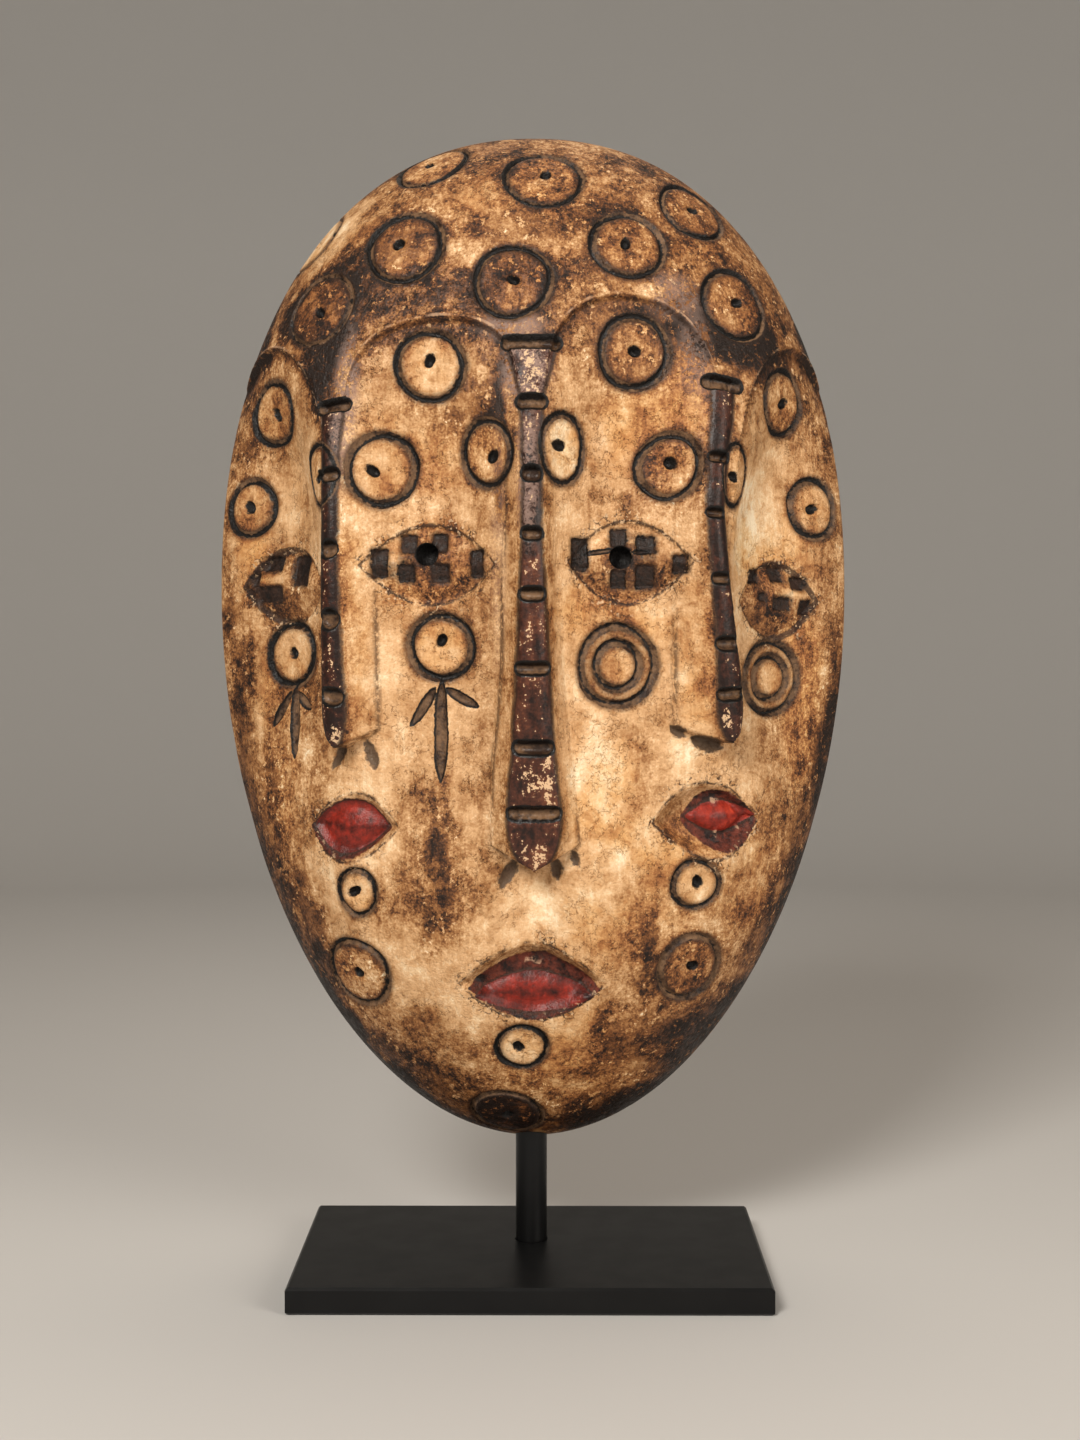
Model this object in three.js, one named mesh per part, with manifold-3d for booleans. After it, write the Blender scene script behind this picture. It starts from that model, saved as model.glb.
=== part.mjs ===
// A carved wooden mask with three faces, on a steel rod and a steel base plate.
// Millimetres, +Z up. X runs to the right seen from the front, and the faces look along -Y.
// The origin is the centre of the plate's underside.
import * as THREE from 'three';
import { mergeVertices } from 'three/addons/utils/BufferGeometryUtils.js';
import Module from 'manifold-3d';

const wasm = await Module();
wasm.setup();

// Stand
const PLATE = { width: 175, depth: 100, thick: 10, bevel: 1 };
const ROD = { radius: 6, y: 7, sides: 32, socketDepth: 5, topZ: 76, clearance: 0.3 };

// Egg that the mask is carved from, half of it in front of the widest section
const EGG = {
  x: 0.6, y: 18, z: 257,          // centre of the widest section
  halfWidth: 120, up: 175, down: 208.5, deep: 74,
  upPower: 2.2, downPower: 1.95, sidePower: 2.15,
  band: 12, tuck: 3.5,            // straight part behind the widest section, and its rounding
};
const QUARTER = Math.PI / 2;
const BACK_EDGE = QUARTER + 0.12;

// Hollow of the back, with a thick chin for the rod
const HOLLOW = { halfWidth: 106, up: 161, down: 170, deep: 50, overrun: 4 };

// A place on the carved side is (across, up): millimetres along the surface from the egg's front.
// A nose is a dark strip on a ridge. Each row of a line is [up, value].
const NOSES = {
  left: {
    line: [[100, -76], [-57, -75]], width: [[72, 5], [45, 3.4], [17, 3.4], [-9, 4], [-40, 5.4]],
    top: 74, knee: -42, tip: -58, high: 8, grows: [60, -45], fades: [-62, -118], flank: 6.5,
    notches: [[72, 7.8, 3.2], [45, 4.6, 3.2], [17, 4.3, 4], [-9, 4.6, 4.6], [-38, 5.4, 4]],
  },
  mid: {
    line: [[100, 0], [0, 0.3], [-100, 1]], top: 92, knee: -80, tip: -100,
    width: [[92, 9.5], [70, 4], [45, 3.2], [20, 3.4], [0, 4.4], [-26, 5.8], [-54, 7.4], [-78, 9.6]],
    high: 9, grows: [75, -85], fades: [-108, -172], flank: 6,
    notches: [[91, 11.5, 3.2], [68, 6, 3.2], [42, 4.2, 3.4], [21, 4.4, 2.8], [0, 5, 3], [-26, 6.6, 2.8],
      [-54, 8, 3.2], [-78, 10.2, 3.2]],
  },
  right: {
    line: [[84, 74], [50, 69.5], [30, 67.3], [0, 70.5], [-30, 74.5], [-56, 76.5]],
    width: [[82, 5], [51, 3.8], [30, 3.4], [6, 3.6], [-19, 4.5], [-40, 6]],
    top: 84, knee: -40, tip: -56, high: 8, grows: [60, -45], fades: [-60, -116], flank: 6.5,
    notches: [[81, 9.4, 3.6], [51, 4.8, 2.6], [30, 4.2, 2.4], [6, 4.4, 2.6], [-18, 5.2, 3.2], [-37, 6.6, 3]],
  },
};
const STRIP_DOME = 1.2;
const STRIP_MARGIN = 1;
const STRIP_STEP = 5.5;
const NOTCH = { depth: 2, clear: 8, share: 0.8 };

// The four hollow panels between the noses and the rim. Arch: middle, half width, top, height, power.
const PANELS = [
  { from: null, to: 'left', deep: 14.5, lean: 0.55, arch: [-150, 72, 122, 80, 2] },
  { from: 'left', to: 'mid', deep: 15.5, lean: 0.1, arch: [-38, 33, 103, 30, 2.5] },
  { from: 'mid', to: 'right', deep: 15.5, lean: -0.1, arch: [38, 33, 113, 40, 2.3] },
  { from: 'right', to: null, deep: 14.5, lean: -0.55, arch: [150, 72, 122, 80, 2] },
];
const PANEL_RIM = 165;
const ARCH_STEP = 2.4;
const PANEL_RAMP = 62;
const PANEL_FADE = [-150, -5];

// Rings cut with a round tool: across, up, radius, the inner ring's radius or 0 for a dot,
// and how narrow the ring is from side to side, where it lies on a steep flank
const RING_WIDTH = 1.7;
const RING_DEPTH = 2;
const DOT = { radius: 2.4, depth: 2.2 };
const RINGS = [
  [-48, 207, 13.2], [5, 178, 13.8], [73, 175, 13], [-114, 187, 13], [-51, 140, 14], [-7, 117, 13.4],
  [38, 138, 13], [84, 120, 13.2], [-89, 120, 13.8], [-38, 85, 12], [39, 91, 12.4], [-125, 86, 11.4],
  [116, 87, 11.4], [-58, 47, 12.2], [-16, 51, 11.6, 0, 0.83], [11, 52, 11.8, 0, 0.76], [53, 48, 11.4],
  [-82, 46, 11, 0, 0.8], [78, 45, 11, 0, 0.62], [-144, 44, 10.4], [143, 43, 10.6], [-112, -25, 11.2],
  [-35, -19, 11.2], [33, -26, 13.8, 8.2], [110, -35, 13.2, 8], [-70, -118, 8.5, 0, 0.85],
  [-75, -162, 13.2], [65, -113, 8.7], [66, -154, 12.4], [-4, -184, 9], [-12, -245, 13.2],
];

// Eyes: almonds with a bulge, and square cuts on it as [across, up, half width, half height]
const EYES = [
  { at: [-39, 11], long: 24.5, high: 14.5, hole: [-1.4, 4],
    cuts: [[-17.9, 0.6, 3, 5.3], [-7.9, 7.5, 3.1, 3.7], [3.2, 8, 3.2, 3.4], [-8.4, -3, 3.1, 3.4],
      [3.6, -2.8, 3.5, 3.6], [17.2, 0.3, 2.6, 5.1]] },
  { at: [37, 12], long: 22.5, high: 15, hole: [-2.6, 1.8],
    cuts: [[-17.8, 2.5, 3.2, 6], [-3.4, 8.6, 2.9, 3.5], [6.2, 6.2, 3.5, 3.4], [-3.5, -6, 2.8, 3.6],
      [6, -5, 3.5, 4.4], [18, -0.8, 2.6, 3.6]] },
  { at: [-113.5, 4.5], long: 22, high: 14.4,
    cuts: [[-8.3, 8.4, 4.6, 2.8], [6.2, 5.6, 4.6, 5.8], [-16.4, 2.6, 2.2, 2.6], [-9.6, -2.6, 6.4, 3]] },
  { at: [114, -2], long: 19.5, high: 14.4,
    cuts: [[-10.6, 9, 2.8, 2.6], [0.5, 9.8, 3.2, 2.8], [10.3, 6.8, 3.8, 2.5], [-7, 1.4, 2, 1.8],
      [2.1, -0.9, 4, 2.7], [13.6, -2.2, 3.6, 2.8]] },
];
const EYE = { socket: 1.8, bulge: 3.6, cut: 1.4, hole: 4.2, holeDeep: 6, holeSides: 10 };

// Mouths: almonds cut in, with a lens of two lips in them as [across, up, half length, half height]
const MOUTHS = [
  { at: [0, -150], long: 26.5, high: 14.4, deep: 6, lips: [0.8, -4.8, 22, 8.4] },
  { at: [-72.5, -91], long: 18, high: 12.5, deep: 4.6, lips: [-1.8, 0, 15, 9.6] },
  { at: [71, -88], long: 21.5, high: 14, deep: 5.5, lips: [6, 0.6, 14.2, 6.4] },
];
const LIPS_RISE = 2.8;

// Three-pronged tails under two rings, and the small cuts below the noses: [from, to, half width]
const STROKES = [
  { at: [-35, -19], cuts: [[-2, -15, -10.5, -28, 2], [2, -15, 13.6, -21, 2], [0.2, -12.5, 0.6, -48, 2.6]] },
  { at: [-112, -25], cuts: [[0.5, -14, -7, -27, 1.8], [3, -14, 11, -20, 1.8], [2.4, -12, 5, -38, 2.4]] },
  { at: [0, -99], cuts: [[-6, 1, -11, -9, 2.6], [8, 2, 9.6, -6, 2.4], [14.6, 4.5, 16.4, -1, 1.8]] },
  { at: [-70, -59], cuts: [[-4, 2, -10, -8, 2.2], [4, 3, 8, -7, 2.4]] },
  { at: [62, -53], cuts: [[-6.5, 3.5, -2, -0.5, 2.4], [1, -1, 12, -5, 3]] },
];
const STROKE_DEPTH = 1.5;

// Fineness of the faceting
const GRID = 12.2;
const CLEAR = 4.6;
const EDGE_POINTS = 80;
const RING_POINTS = 13;

// Small helpers
const clamp = (x, low, high) => Math.min(high, Math.max(low, x));

function smooth(x, from, to) {
  const t = clamp((x - from) / (to - from), 0, 1);
  return t * t * (3 - 2 * t);
}

function along(rows, up) {
  if (up >= rows[0][0]) return rows[0][1];
  for (let i = 1; i < rows.length; i++) {
    const [highUp, highValue] = rows[i - 1];
    const [lowUp, lowValue] = rows[i];
    if (up >= lowUp) return lowValue + (highValue - lowValue) * (up - lowUp) / (highUp - lowUp);
  }
  return rows[rows.length - 1][1];
}

// The uncarved egg
function turnFromFront(across, up, egg) {
  const reach = up > 0 ? egg.up : egg.down;
  const power = up > 0 ? EGG.upPower : EGG.downPower;
  return ((Math.abs(across) / egg.halfWidth) ** power + (Math.abs(up) / reach) ** power) ** (1 / power);
}

function eggPoint(across, up, egg = EGG) {
  const turn = Math.max(turnFromFront(across, up, egg), 1e-6);
  const ahead = Math.min(turn, QUARTER);
  const s = Math.sin(ahead);
  const c = Math.max(Math.cos(ahead), 0);
  const size = (s ** EGG.sidePower + c ** EGG.sidePower) ** (-1 / EGG.sidePower);
  const past = Math.max(0, (turn - QUARTER) / (BACK_EDGE - QUARTER));
  const spread = (size * s - (EGG.tuck / EGG.halfWidth) * past ** 4) / turn;
  return new THREE.Vector3(
    EGG.x + across * spread,
    EGG.y - egg.deep * size * c + EGG.band * past,
    EGG.z + up * spread,
  );
}

function eggFrame(across, up) {
  const step = 0.05;
  const right = eggPoint(across + step, up).sub(eggPoint(across - step, up)).normalize();
  const high = eggPoint(across, up + step).sub(eggPoint(across, up - step)).normalize();
  const out = new THREE.Vector3().crossVectors(right, high).normalize();
  return { at: eggPoint(across, up), right, high, out };
}

// Noses and panels
function ridgeHeight(nose, up) {
  return nose.high * smooth(up, ...nose.grows) * (1 - smooth(up, ...nose.fades));
}

function stripHalfWidth(nose, up) {
  const t = clamp((nose.knee - up) / (nose.knee - nose.tip), 0, 1);
  return along(nose.width, up) * Math.sqrt(1 - t * t);
}

function besideStrip(nose, across, up) {
  const half = stripHalfWidth(nose, up);
  const aside = Math.abs(across - along(nose.line, up));
  const away = Math.hypot(Math.max(aside - half, 0), Math.max(nose.tip - up, 0));
  return { half, aside, away };
}

function ridges(across, up) {
  let height = 0;
  for (const nose of Object.values(NOSES)) {
    const { away } = besideStrip(nose, across, up);
    height += ridgeHeight(nose, up) * (1 - smooth(away, 0, nose.flank));
  }
  return height;
}

function stripRelief(across, up) {
  let height = 0;
  for (const nose of Object.values(NOSES)) {
    const { half, aside, away } = besideStrip(nose, across, up);
    if (away > 0) continue;
    height += STRIP_DOME * (1 - (aside / Math.max(half, 0.1)) ** 2) * smooth(up, nose.top + 1, nose.top - 4);
  }
  return height;
}

// How far a place is from the nearest dark strip, which no ring cuts into
function clearOfStrips(across, up) {
  const gaps = Object.values(NOSES)
    .filter((nose) => up < nose.top + 3)
    .map((nose) => besideStrip(nose, across, up).away);
  return Math.min(...gaps, STRIP_MARGIN);
}

function archTop(arch, across) {
  const [middle, half, top, height, power] = arch;
  const s = clamp(Math.abs(across - middle) / half, 0, 1);
  return top - height * (1 - (1 - s ** power) ** (1 / power));
}

function panelEdges(panel, up) {
  const { from, to } = panel;
  const inset = from && to ? 4 : 3;
  return {
    low: from ? along(NOSES[from].line, up) + inset : -PANEL_RIM,
    high: to ? along(NOSES[to].line, up) - inset : PANEL_RIM,
    lowDeep: from ? ridgeHeight(NOSES[from], up) : 0,
    highDeep: to ? ridgeHeight(NOSES[to], up) : 0,
  };
}

function panelDepth(across, up) {
  for (const panel of PANELS) {
    const { low, high, lowDeep, highDeep } = panelEdges(panel, up);
    const s = (2 * across - low - high) / (high - low);
    if (Math.abs(s) >= 1) continue;
    const sides = lowDeep * (1 - s) / 2 + highDeep * (1 + s) / 2;
    const below = archTop(panel.arch, across) - up;
    const trough = panel.deep * smooth(below, -4, PANEL_RAMP) * smooth(up, ...PANEL_FADE);
    const step = ARCH_STEP * smooth(below, 0, 2.5) * clamp(1 - trough / 6, 0, 1) * smooth(up, -20, 30);
    return sides * s * s + trough * (1 - s * s) * (1 + panel.lean * s) + step * (1 - s ** 8);
  }
  for (const nose of Object.values(NOSES)) {
    if (Math.abs(across - along(nose.line, up)) <= 4.01) return ridgeHeight(nose, up);
  }
  return 0;
}

// The egg with its panels sunk and its noses standing
function shapedPoint(across, up) {
  const { at, out } = eggFrame(across, up);
  return at.addScaledVector(out, ridges(across, up) - panelDepth(across, up));
}

// Distances from the middle of a feature, in its own tangent plane
function chart([across, up]) {
  return { across, up, ...eggFrame(across, up), at: shapedPoint(across, up) };
}

function local(frame, point) {
  const offset = point.clone().sub(frame.at);
  return [offset.dot(frame.right), offset.dot(frame.high)];
}

function fromRing(ring, point) {
  const offset = point.clone().sub(ring.at);
  const aside = offset.dot(ring.right);
  return Math.sqrt(offset.lengthSq() + aside * aside * (ring.narrow ** -2 - 1));
}

const rings = RINGS.map(([across, up, radius, inner = 0, narrow = 1]) => (
  { ...chart([across, up]), radius, inner, narrow }));
const eyes = EYES.map((eye) => ({ ...eye, frame: chart(eye.at) }));
const mouths = MOUTHS.map((mouth) => ({ ...mouth, frame: chart(mouth.at) }));
const strokes = STROKES.map((group) => ({ ...group, frame: chart(group.at) }));

// An almond is 1 in its middle and 0 on its edge
function almond(u, v, long, high) {
  return 1 - (u / long) ** 2 - Math.abs(v) / high;
}

function ringRelief(point) {
  let height = 0;
  for (const ring of rings) {
    const away = fromRing(ring, point);
    if (away > ring.radius + RING_WIDTH) continue;
    const groove = (radius) => Math.max(0, 1 - Math.abs(away - radius) / RING_WIDTH);
    height -= RING_DEPTH * groove(ring.radius);
    if (ring.inner) height -= RING_DEPTH * groove(ring.inner);
    else height -= DOT.depth * clamp(1 - away / DOT.radius, 0, 1);
  }
  return height;
}

function eyeRelief(point) {
  let height = 0;
  for (const eye of eyes) {
    const [u, v] = local(eye.frame, point);
    const inside = almond(u, v, eye.long, eye.high);
    if (inside <= 0) continue;
    height += EYE.bulge * inside * (2 - inside) - EYE.socket * smooth(inside * eye.high, 0, 1.5);
  }
  return height;
}

function mouthRelief(point) {
  let height = 0;
  for (const { frame, long, high, deep, lips } of mouths) {
    const [u, v] = local(frame, point);
    const inside = almond(u, v, long, high);
    if (inside <= 0) continue;
    const [lipU, lipV, lipLong, lipHigh] = lips;
    const lens = Math.max(0, almond(u - lipU, v - lipV, lipLong, lipHigh));
    height += LIPS_RISE * lens * (2 - lens) - deep * smooth(inside * high, 0, 6);
  }
  return height;
}

function strokeRelief(point) {
  let height = 0;
  for (const { frame, cuts } of strokes) {
    const [u, v] = local(frame, point);
    for (const [u0, v0, u1, v1, half] of cuts) {
      const du = u1 - u0;
      const dv = v1 - v0;
      const t = clamp(((u - u0) * du + (v - v0) * dv) / (du * du + dv * dv), 0, 1);
      const away = Math.hypot(u - u0 - t * du, v - v0 - t * dv);
      const spread = half * Math.sqrt(Math.max(0.05, 4 * t * (1 - t)));
      height -= STROKE_DEPTH * Math.max(0, 1 - away / spread);
    }
  }
  return height;
}

function carvedPoint(across, up) {
  const { out } = eggFrame(across, up);
  const at = shapedPoint(across, up);
  const grooves = ringRelief(at) * clearOfStrips(across, up) / STRIP_MARGIN;
  const height = stripRelief(across, up) + grooves + eyeRelief(at) + mouthRelief(at) + strokeRelief(at);
  return at.addScaledVector(out, height);
}

// Places that the facets must pass through
function ringPlaces(ring, radius, count) {
  const places = [];
  for (let i = 0; i < count; i++) {
    const angle = i * 2 * Math.PI / count;
    let [du, dv] = [radius * Math.cos(angle), radius * Math.sin(angle)];
    for (let pass = 0; pass < 8; pass++) {
      const reach = fromRing(ring, shapedPoint(ring.across + du, ring.up + dv));
      const more = Math.sqrt(radius / reach);
      du *= more;
      dv *= more;
    }
    const place = [ring.across + du, ring.up + dv];
    if (clearOfStrips(...place) > 0) places.push(place);
  }
  return places;
}

function chartPlace(frame, u, v) {
  let [across, up] = [frame.across + u, frame.up + v];
  for (let pass = 0; pass < 5; pass++) {
    const [gotU, gotV] = local(frame, shapedPoint(across, up));
    across += u - gotU;
    up += v - gotV;
  }
  return [across, up];
}

function almondPlaces(frame, middleU, middleV, long, high) {
  const places = [];
  for (let i = -4; i <= 4; i++) {
    const u = long * Math.sin(i * Math.PI / 8);
    const v = high * (1 - (u / long) ** 2);
    places.push(chartPlace(frame, middleU + u, middleV + v));
    if (Math.abs(i) < 4) places.push(chartPlace(frame, middleU + u, middleV - v));
  }
  return places;
}

function featurePlaces() {
  const places = [];
  for (const ring of rings) {
    const radii = ring.inner ? [ring.radius, ring.inner] : [ring.radius];
    for (const radius of radii) {
      places.push(...ringPlaces(ring, radius + RING_WIDTH, RING_POINTS));
      places.push(...ringPlaces(ring, radius, RING_POINTS));
      places.push(...ringPlaces(ring, radius - RING_WIDTH, RING_POINTS));
    }
    places.push([ring.across, ring.up]);
    if (!ring.inner) places.push(...ringPlaces(ring, DOT.radius, 5));
  }
  for (const nose of Object.values(NOSES)) {
    const levels = [nose.tip, nose.tip - nose.flank];
    for (let up = nose.top; up > nose.tip + 1; up -= STRIP_STEP) levels.push(up);
    for (const up of levels) {
      const middle = along(nose.line, up);
      const half = Math.max(stripHalfWidth(nose, up), 0.5);
      for (const aside of [0, half, -half, half + nose.flank, -half - nose.flank]) {
        places.push([middle + aside, up]);
      }
    }
  }
  for (const { arch } of PANELS) {
    for (let i = -5; i <= 5; i++) {
      const across = arch[0] + i * arch[1] / 5.2;
      const up = archTop(arch, across);
      places.push([across, up + 0.3], [across, up - 2.6]);
    }
  }
  for (const { frame, long, high } of eyes) {
    for (const ratio of [1, 0.88, 0.5]) places.push(...almondPlaces(frame, 0, 0, long * ratio, high * ratio));
    places.push([frame.across, frame.up]);
  }
  for (const { frame, long, high, lips } of mouths) {
    const [lipU, lipV, lipLong, lipHigh] = lips;
    for (const ratio of [1, 0.85]) places.push(...almondPlaces(frame, 0, 0, long * ratio, high * ratio));
    for (const ratio of [1, 0.45]) {
      places.push(...almondPlaces(frame, lipU, lipV, lipLong * ratio, lipHigh * ratio));
    }
    places.push(chartPlace(frame, lipU, lipV));
  }
  for (const { frame, cuts } of strokes) {
    for (const [u0, v0, u1, v1, half] of cuts) {
      const length = Math.hypot(u1 - u0, v1 - v0);
      const side = [-(v1 - v0) / length * half, (u1 - u0) / length * half];
      const mid = [(u0 + u1) / 2, (v0 + v1) / 2];
      places.push(chartPlace(frame, u0, v0), chartPlace(frame, u1, v1), chartPlace(frame, ...mid));
      places.push(chartPlace(frame, mid[0] + side[0], mid[1] + side[1]));
      places.push(chartPlace(frame, mid[0] - side[0], mid[1] - side[1]));
    }
  }
  return places;
}

function outlinePlaces(turn, count, egg = EGG) {
  const places = [];
  for (let i = 0; i < count; i++) {
    const angle = i * 2 * Math.PI / count;
    const [across, up] = [egg.halfWidth * Math.cos(angle), egg.up * Math.sin(angle)];
    const size = turn / turnFromFront(across, up, egg);
    places.push([across * size, up * size]);
  }
  return places;
}

function gridPlaces(spacing, limit, egg = EGG) {
  const places = [];
  const rowStep = spacing * Math.sqrt(3) / 2;
  const rows = Math.ceil(egg.down * limit / rowStep);
  const columns = Math.ceil(egg.halfWidth * limit / spacing);
  for (let row = -rows; row <= rows; row++) {
    for (let column = -columns; column <= columns; column++) {
      const across = (column + (row % 2 ? 0.5 : 0)) * spacing;
      const up = row * rowStep;
      if (turnFromFront(across, up, egg) < limit) places.push([across, up]);
    }
  }
  return places;
}

function thinned(places, gap) {
  const cell = (x) => Math.floor(x / gap);
  const kept = new Map();
  const result = [];
  for (const place of places) {
    const [column, row] = place.map(cell);
    let free = true;
    for (let i = -1; i <= 1 && free; i++) {
      for (let j = -1; j <= 1 && free; j++) {
        for (const other of kept.get(`${column + i},${row + j}`) ?? []) {
          if (Math.hypot(other[0] - place[0], other[1] - place[1]) < gap) free = false;
        }
      }
    }
    if (!free) continue;
    const key = `${column},${row}`;
    kept.set(key, [...(kept.get(key) ?? []), place]);
    result.push(place);
  }
  return result;
}

function clearOf(places, features, gap) {
  return places.filter((place) => features.every(
    (other) => Math.hypot(other[0] - place[0], other[1] - place[1]) >= gap));
}

// Delaunay triangles of flat places, one place put in at a time
function circle(places, corners) {
  const [[ax, ay], [bx, by], [cx, cy]] = corners.map((i) => places[i]);
  const twice = 2 * ((bx - ax) * (cy - ay) - (by - ay) * (cx - ax));
  const b = (bx - ax) ** 2 + (by - ay) ** 2;
  const c = (cx - ax) ** 2 + (cy - ay) ** 2;
  const x = ax + ((cy - ay) * b - (by - ay) * c) / twice;
  const y = ay + ((bx - ax) * c - (cx - ax) * b) / twice;
  return { corners, x, y, reach: (ax - x) ** 2 + (ay - y) ** 2 };
}

function triangulate(flat) {
  const far = 5000;
  const nudge = (i, rate) => 0.01 * Math.sin(i * rate);
  const places = flat.map(([x, y], i) => [x + nudge(i, 12.9), y + nudge(i, 78.2)]);
  const count = places.length;
  places.push([-far, -far], [far, -far], [0, far]);
  let triangles = [circle(places, [count, count + 1, count + 2])];
  for (let i = 0; i < count; i++) {
    const [x, y] = places[i];
    const edges = new Map();
    const kept = [];
    for (const triangle of triangles) {
      if ((x - triangle.x) ** 2 + (y - triangle.y) ** 2 >= triangle.reach) {
        kept.push(triangle);
        continue;
      }
      const [a, b, c] = triangle.corners;
      for (const [from, to] of [[a, b], [b, c], [c, a]]) {
        const back = `${to},${from}`;
        if (edges.has(back)) edges.delete(back);
        else edges.set(`${from},${to}`, [from, to]);
      }
    }
    for (const [from, to] of edges.values()) kept.push(circle(places, [from, to, i]));
    triangles = kept;
  }
  return triangles.map(({ corners }) => corners).filter((corners) => Math.max(...corners) < count);
}

// A dome of triangles over flat places, closed at the back by a flat fan to its outline
function closedDome(outline, inner, pointAt, capY) {
  const places = [...outline, ...inner];
  const points = places.map(([across, up]) => pointAt(across, up));
  const triangles = triangulate(places);
  const count = outline.length;
  const backEdge = outline.map((_, i) => points.length + i);
  for (let i = 0; i < count; i++) points.push(points[i].clone().setY(capY));
  const middle = points.length;
  points.push(new THREE.Vector3(EGG.x, capY, EGG.z));
  for (let i = 0; i < count; i++) {
    const next = (i + 1) % count;
    triangles.push([i, backEdge[i], next], [next, backEdge[i], backEdge[next]]);
    triangles.push([backEdge[next], backEdge[i], middle]);
  }
  return { points, triangles };
}

// Solids for joining and cutting
function solidFrom(points, triangles) {
  const vertProperties = new Float32Array(points.flatMap((point) => [point.x, point.y, point.z]));
  return new wasm.Manifold(new wasm.Mesh({
    numProp: 3, vertProperties, triVerts: new Uint32Array(triangles.flat()),
  }));
}

function solidOf(geometry) {
  const bare = geometry.clone();
  bare.deleteAttribute('normal');
  bare.deleteAttribute('uv');
  const merged = mergeVertices(bare, 1e-4);
  return new wasm.Manifold(new wasm.Mesh({
    numProp: 3,
    vertProperties: new Float32Array(merged.attributes.position.array),
    triVerts: new Uint32Array(merged.index.array),
  }));
}

function geometryOf(solid) {
  const { vertProperties, triVerts } = solid.getMesh();
  const geometry = new THREE.BufferGeometry();
  geometry.setAttribute('position', new THREE.BufferAttribute(vertProperties, 3));
  geometry.setIndex(new THREE.BufferAttribute(triVerts, 1));
  geometry.computeVertexNormals();
  return geometry;
}

// An upright cylinder by its ends
function upright(radius, lowZ, highZ, x, y, sides = ROD.sides) {
  const geometry = new THREE.CylinderGeometry(radius, radius, highZ - lowZ, sides);
  return geometry.rotateX(QUARTER).translate(x, y, (lowZ + highZ) / 2);
}

// A block square to a frame, from a floor below the frame's middle to clear of the wood
function block({ at, right, out }, halfLong, halfHigh, deep) {
  const long = 2 * halfLong;
  const geometry = new THREE.BoxGeometry(long, 2 * halfHigh, deep + NOTCH.clear);
  const high = new THREE.Vector3().crossVectors(out, right).normalize();
  const middle = at.clone().addScaledVector(out, (NOTCH.clear - deep) / 2);
  const turn = new THREE.Matrix4().makeBasis(new THREE.Vector3().crossVectors(high, out), high, out);
  return solidOf(geometry.applyMatrix4(turn.setPosition(middle)));
}

// The notches across the noses
function notchBlocks() {
  const blocks = [];
  for (const nose of Object.values(NOSES)) {
    for (const [level, halfLong, halfHigh] of nose.notches) {
      const frame = chart([along(nose.line, level), level]);
      blocks.push(block(frame, halfLong, halfHigh * NOTCH.share, NOTCH.depth));
    }
  }
  return blocks;
}

// The square cuts on the eyes
function eyeBlocks() {
  const blocks = [];
  for (const { frame, cuts } of eyes) {
    for (const [u, v, halfLong, halfHigh] of cuts) {
      const place = chartPlace(frame, u, v);
      const at = carvedPoint(...place);
      blocks.push(block({ ...frame, at }, halfLong, halfHigh, EYE.cut));
    }
  }
  return blocks;
}

// The mask
function maskGeometry() {
  const backY = EGG.y + EGG.band;
  const outline = outlinePlaces(BACK_EDGE - 0.005, EDGE_POINTS);
  const corner = outlinePlaces(QUARTER, EDGE_POINTS / 2);
  const features = thinned(featurePlaces(), 1.1).filter(
    ([across, up]) => turnFromFront(across, up, EGG) < QUARTER - 0.03);
  const background = clearOf(gridPlaces(GRID, QUARTER - 0.04), features, CLEAR);
  const outer = closedDome(outline, [...corner, ...features, ...background], carvedPoint, backY);

  const hollowEdge = outlinePlaces(BACK_EDGE - 0.005, EDGE_POINTS / 2, HOLLOW);
  const hollowGrid = gridPlaces(GRID * 1.9, QUARTER - 0.06, HOLLOW);
  const hollowPoint = (across, up) => eggPoint(across, up, HOLLOW);
  const hollow = closedDome(hollowEdge, hollowGrid, hollowPoint, backY + HOLLOW.overrun);

  let solid = solidFrom(outer.points, outer.triangles).subtract(solidFrom(hollow.points, hollow.triangles));
  const sleeve = upright(ROD.radius + ROD.clearance, 0, ROD.topZ, 0, ROD.y);
  solid = solid.subtract(solidOf(sleeve));
  for (const cut of [...notchBlocks(), ...eyeBlocks()]) solid = solid.subtract(cut);
  for (const { frame, hole } of eyes) {
    if (!hole) continue;
    const [u, v] = hole;
    const centre = frame.at.clone().addScaledVector(frame.right, u).addScaledVector(frame.high, v);
    const pupil = new THREE.CylinderGeometry(EYE.hole, EYE.hole, 2 * EYE.holeDeep, EYE.holeSides);
    solid = solid.subtract(solidOf(pupil.translate(centre.x, centre.y, centre.z)));
  }
  return geometryOf(solid);
}

// The rod
function rodGeometry() {
  return upright(ROD.radius, PLATE.thick - ROD.socketDepth, ROD.topZ, 0, ROD.y);
}

// The base plate, bevelled along its edges, with a blind socket for the rod
function plateGeometry() {
  const { width, depth, thick, bevel } = PLATE;
  const [x, y] = [width / 2 - bevel, depth / 2 - bevel];
  const shape = new THREE.Shape([[-x, -y], [x, -y], [x, y], [-x, y]].map(([a, b]) => new THREE.Vector2(a, b)));
  const slab = new THREE.ExtrudeGeometry(shape, {
    depth: thick - 2 * bevel, bevelEnabled: true, bevelThickness: bevel, bevelSize: bevel, bevelSegments: 1,
  }).translate(0, 0, bevel);
  const socket = upright(ROD.radius + ROD.clearance, thick - ROD.socketDepth, thick + 5, 0, ROD.y);
  return geometryOf(solidOf(slab).subtract(solidOf(socket)));
}

function mesh(name, geometry, finish) {
  const piece = new THREE.Mesh(geometry, new THREE.MeshStandardMaterial(finish));
  piece.name = name;
  return piece;
}

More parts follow.
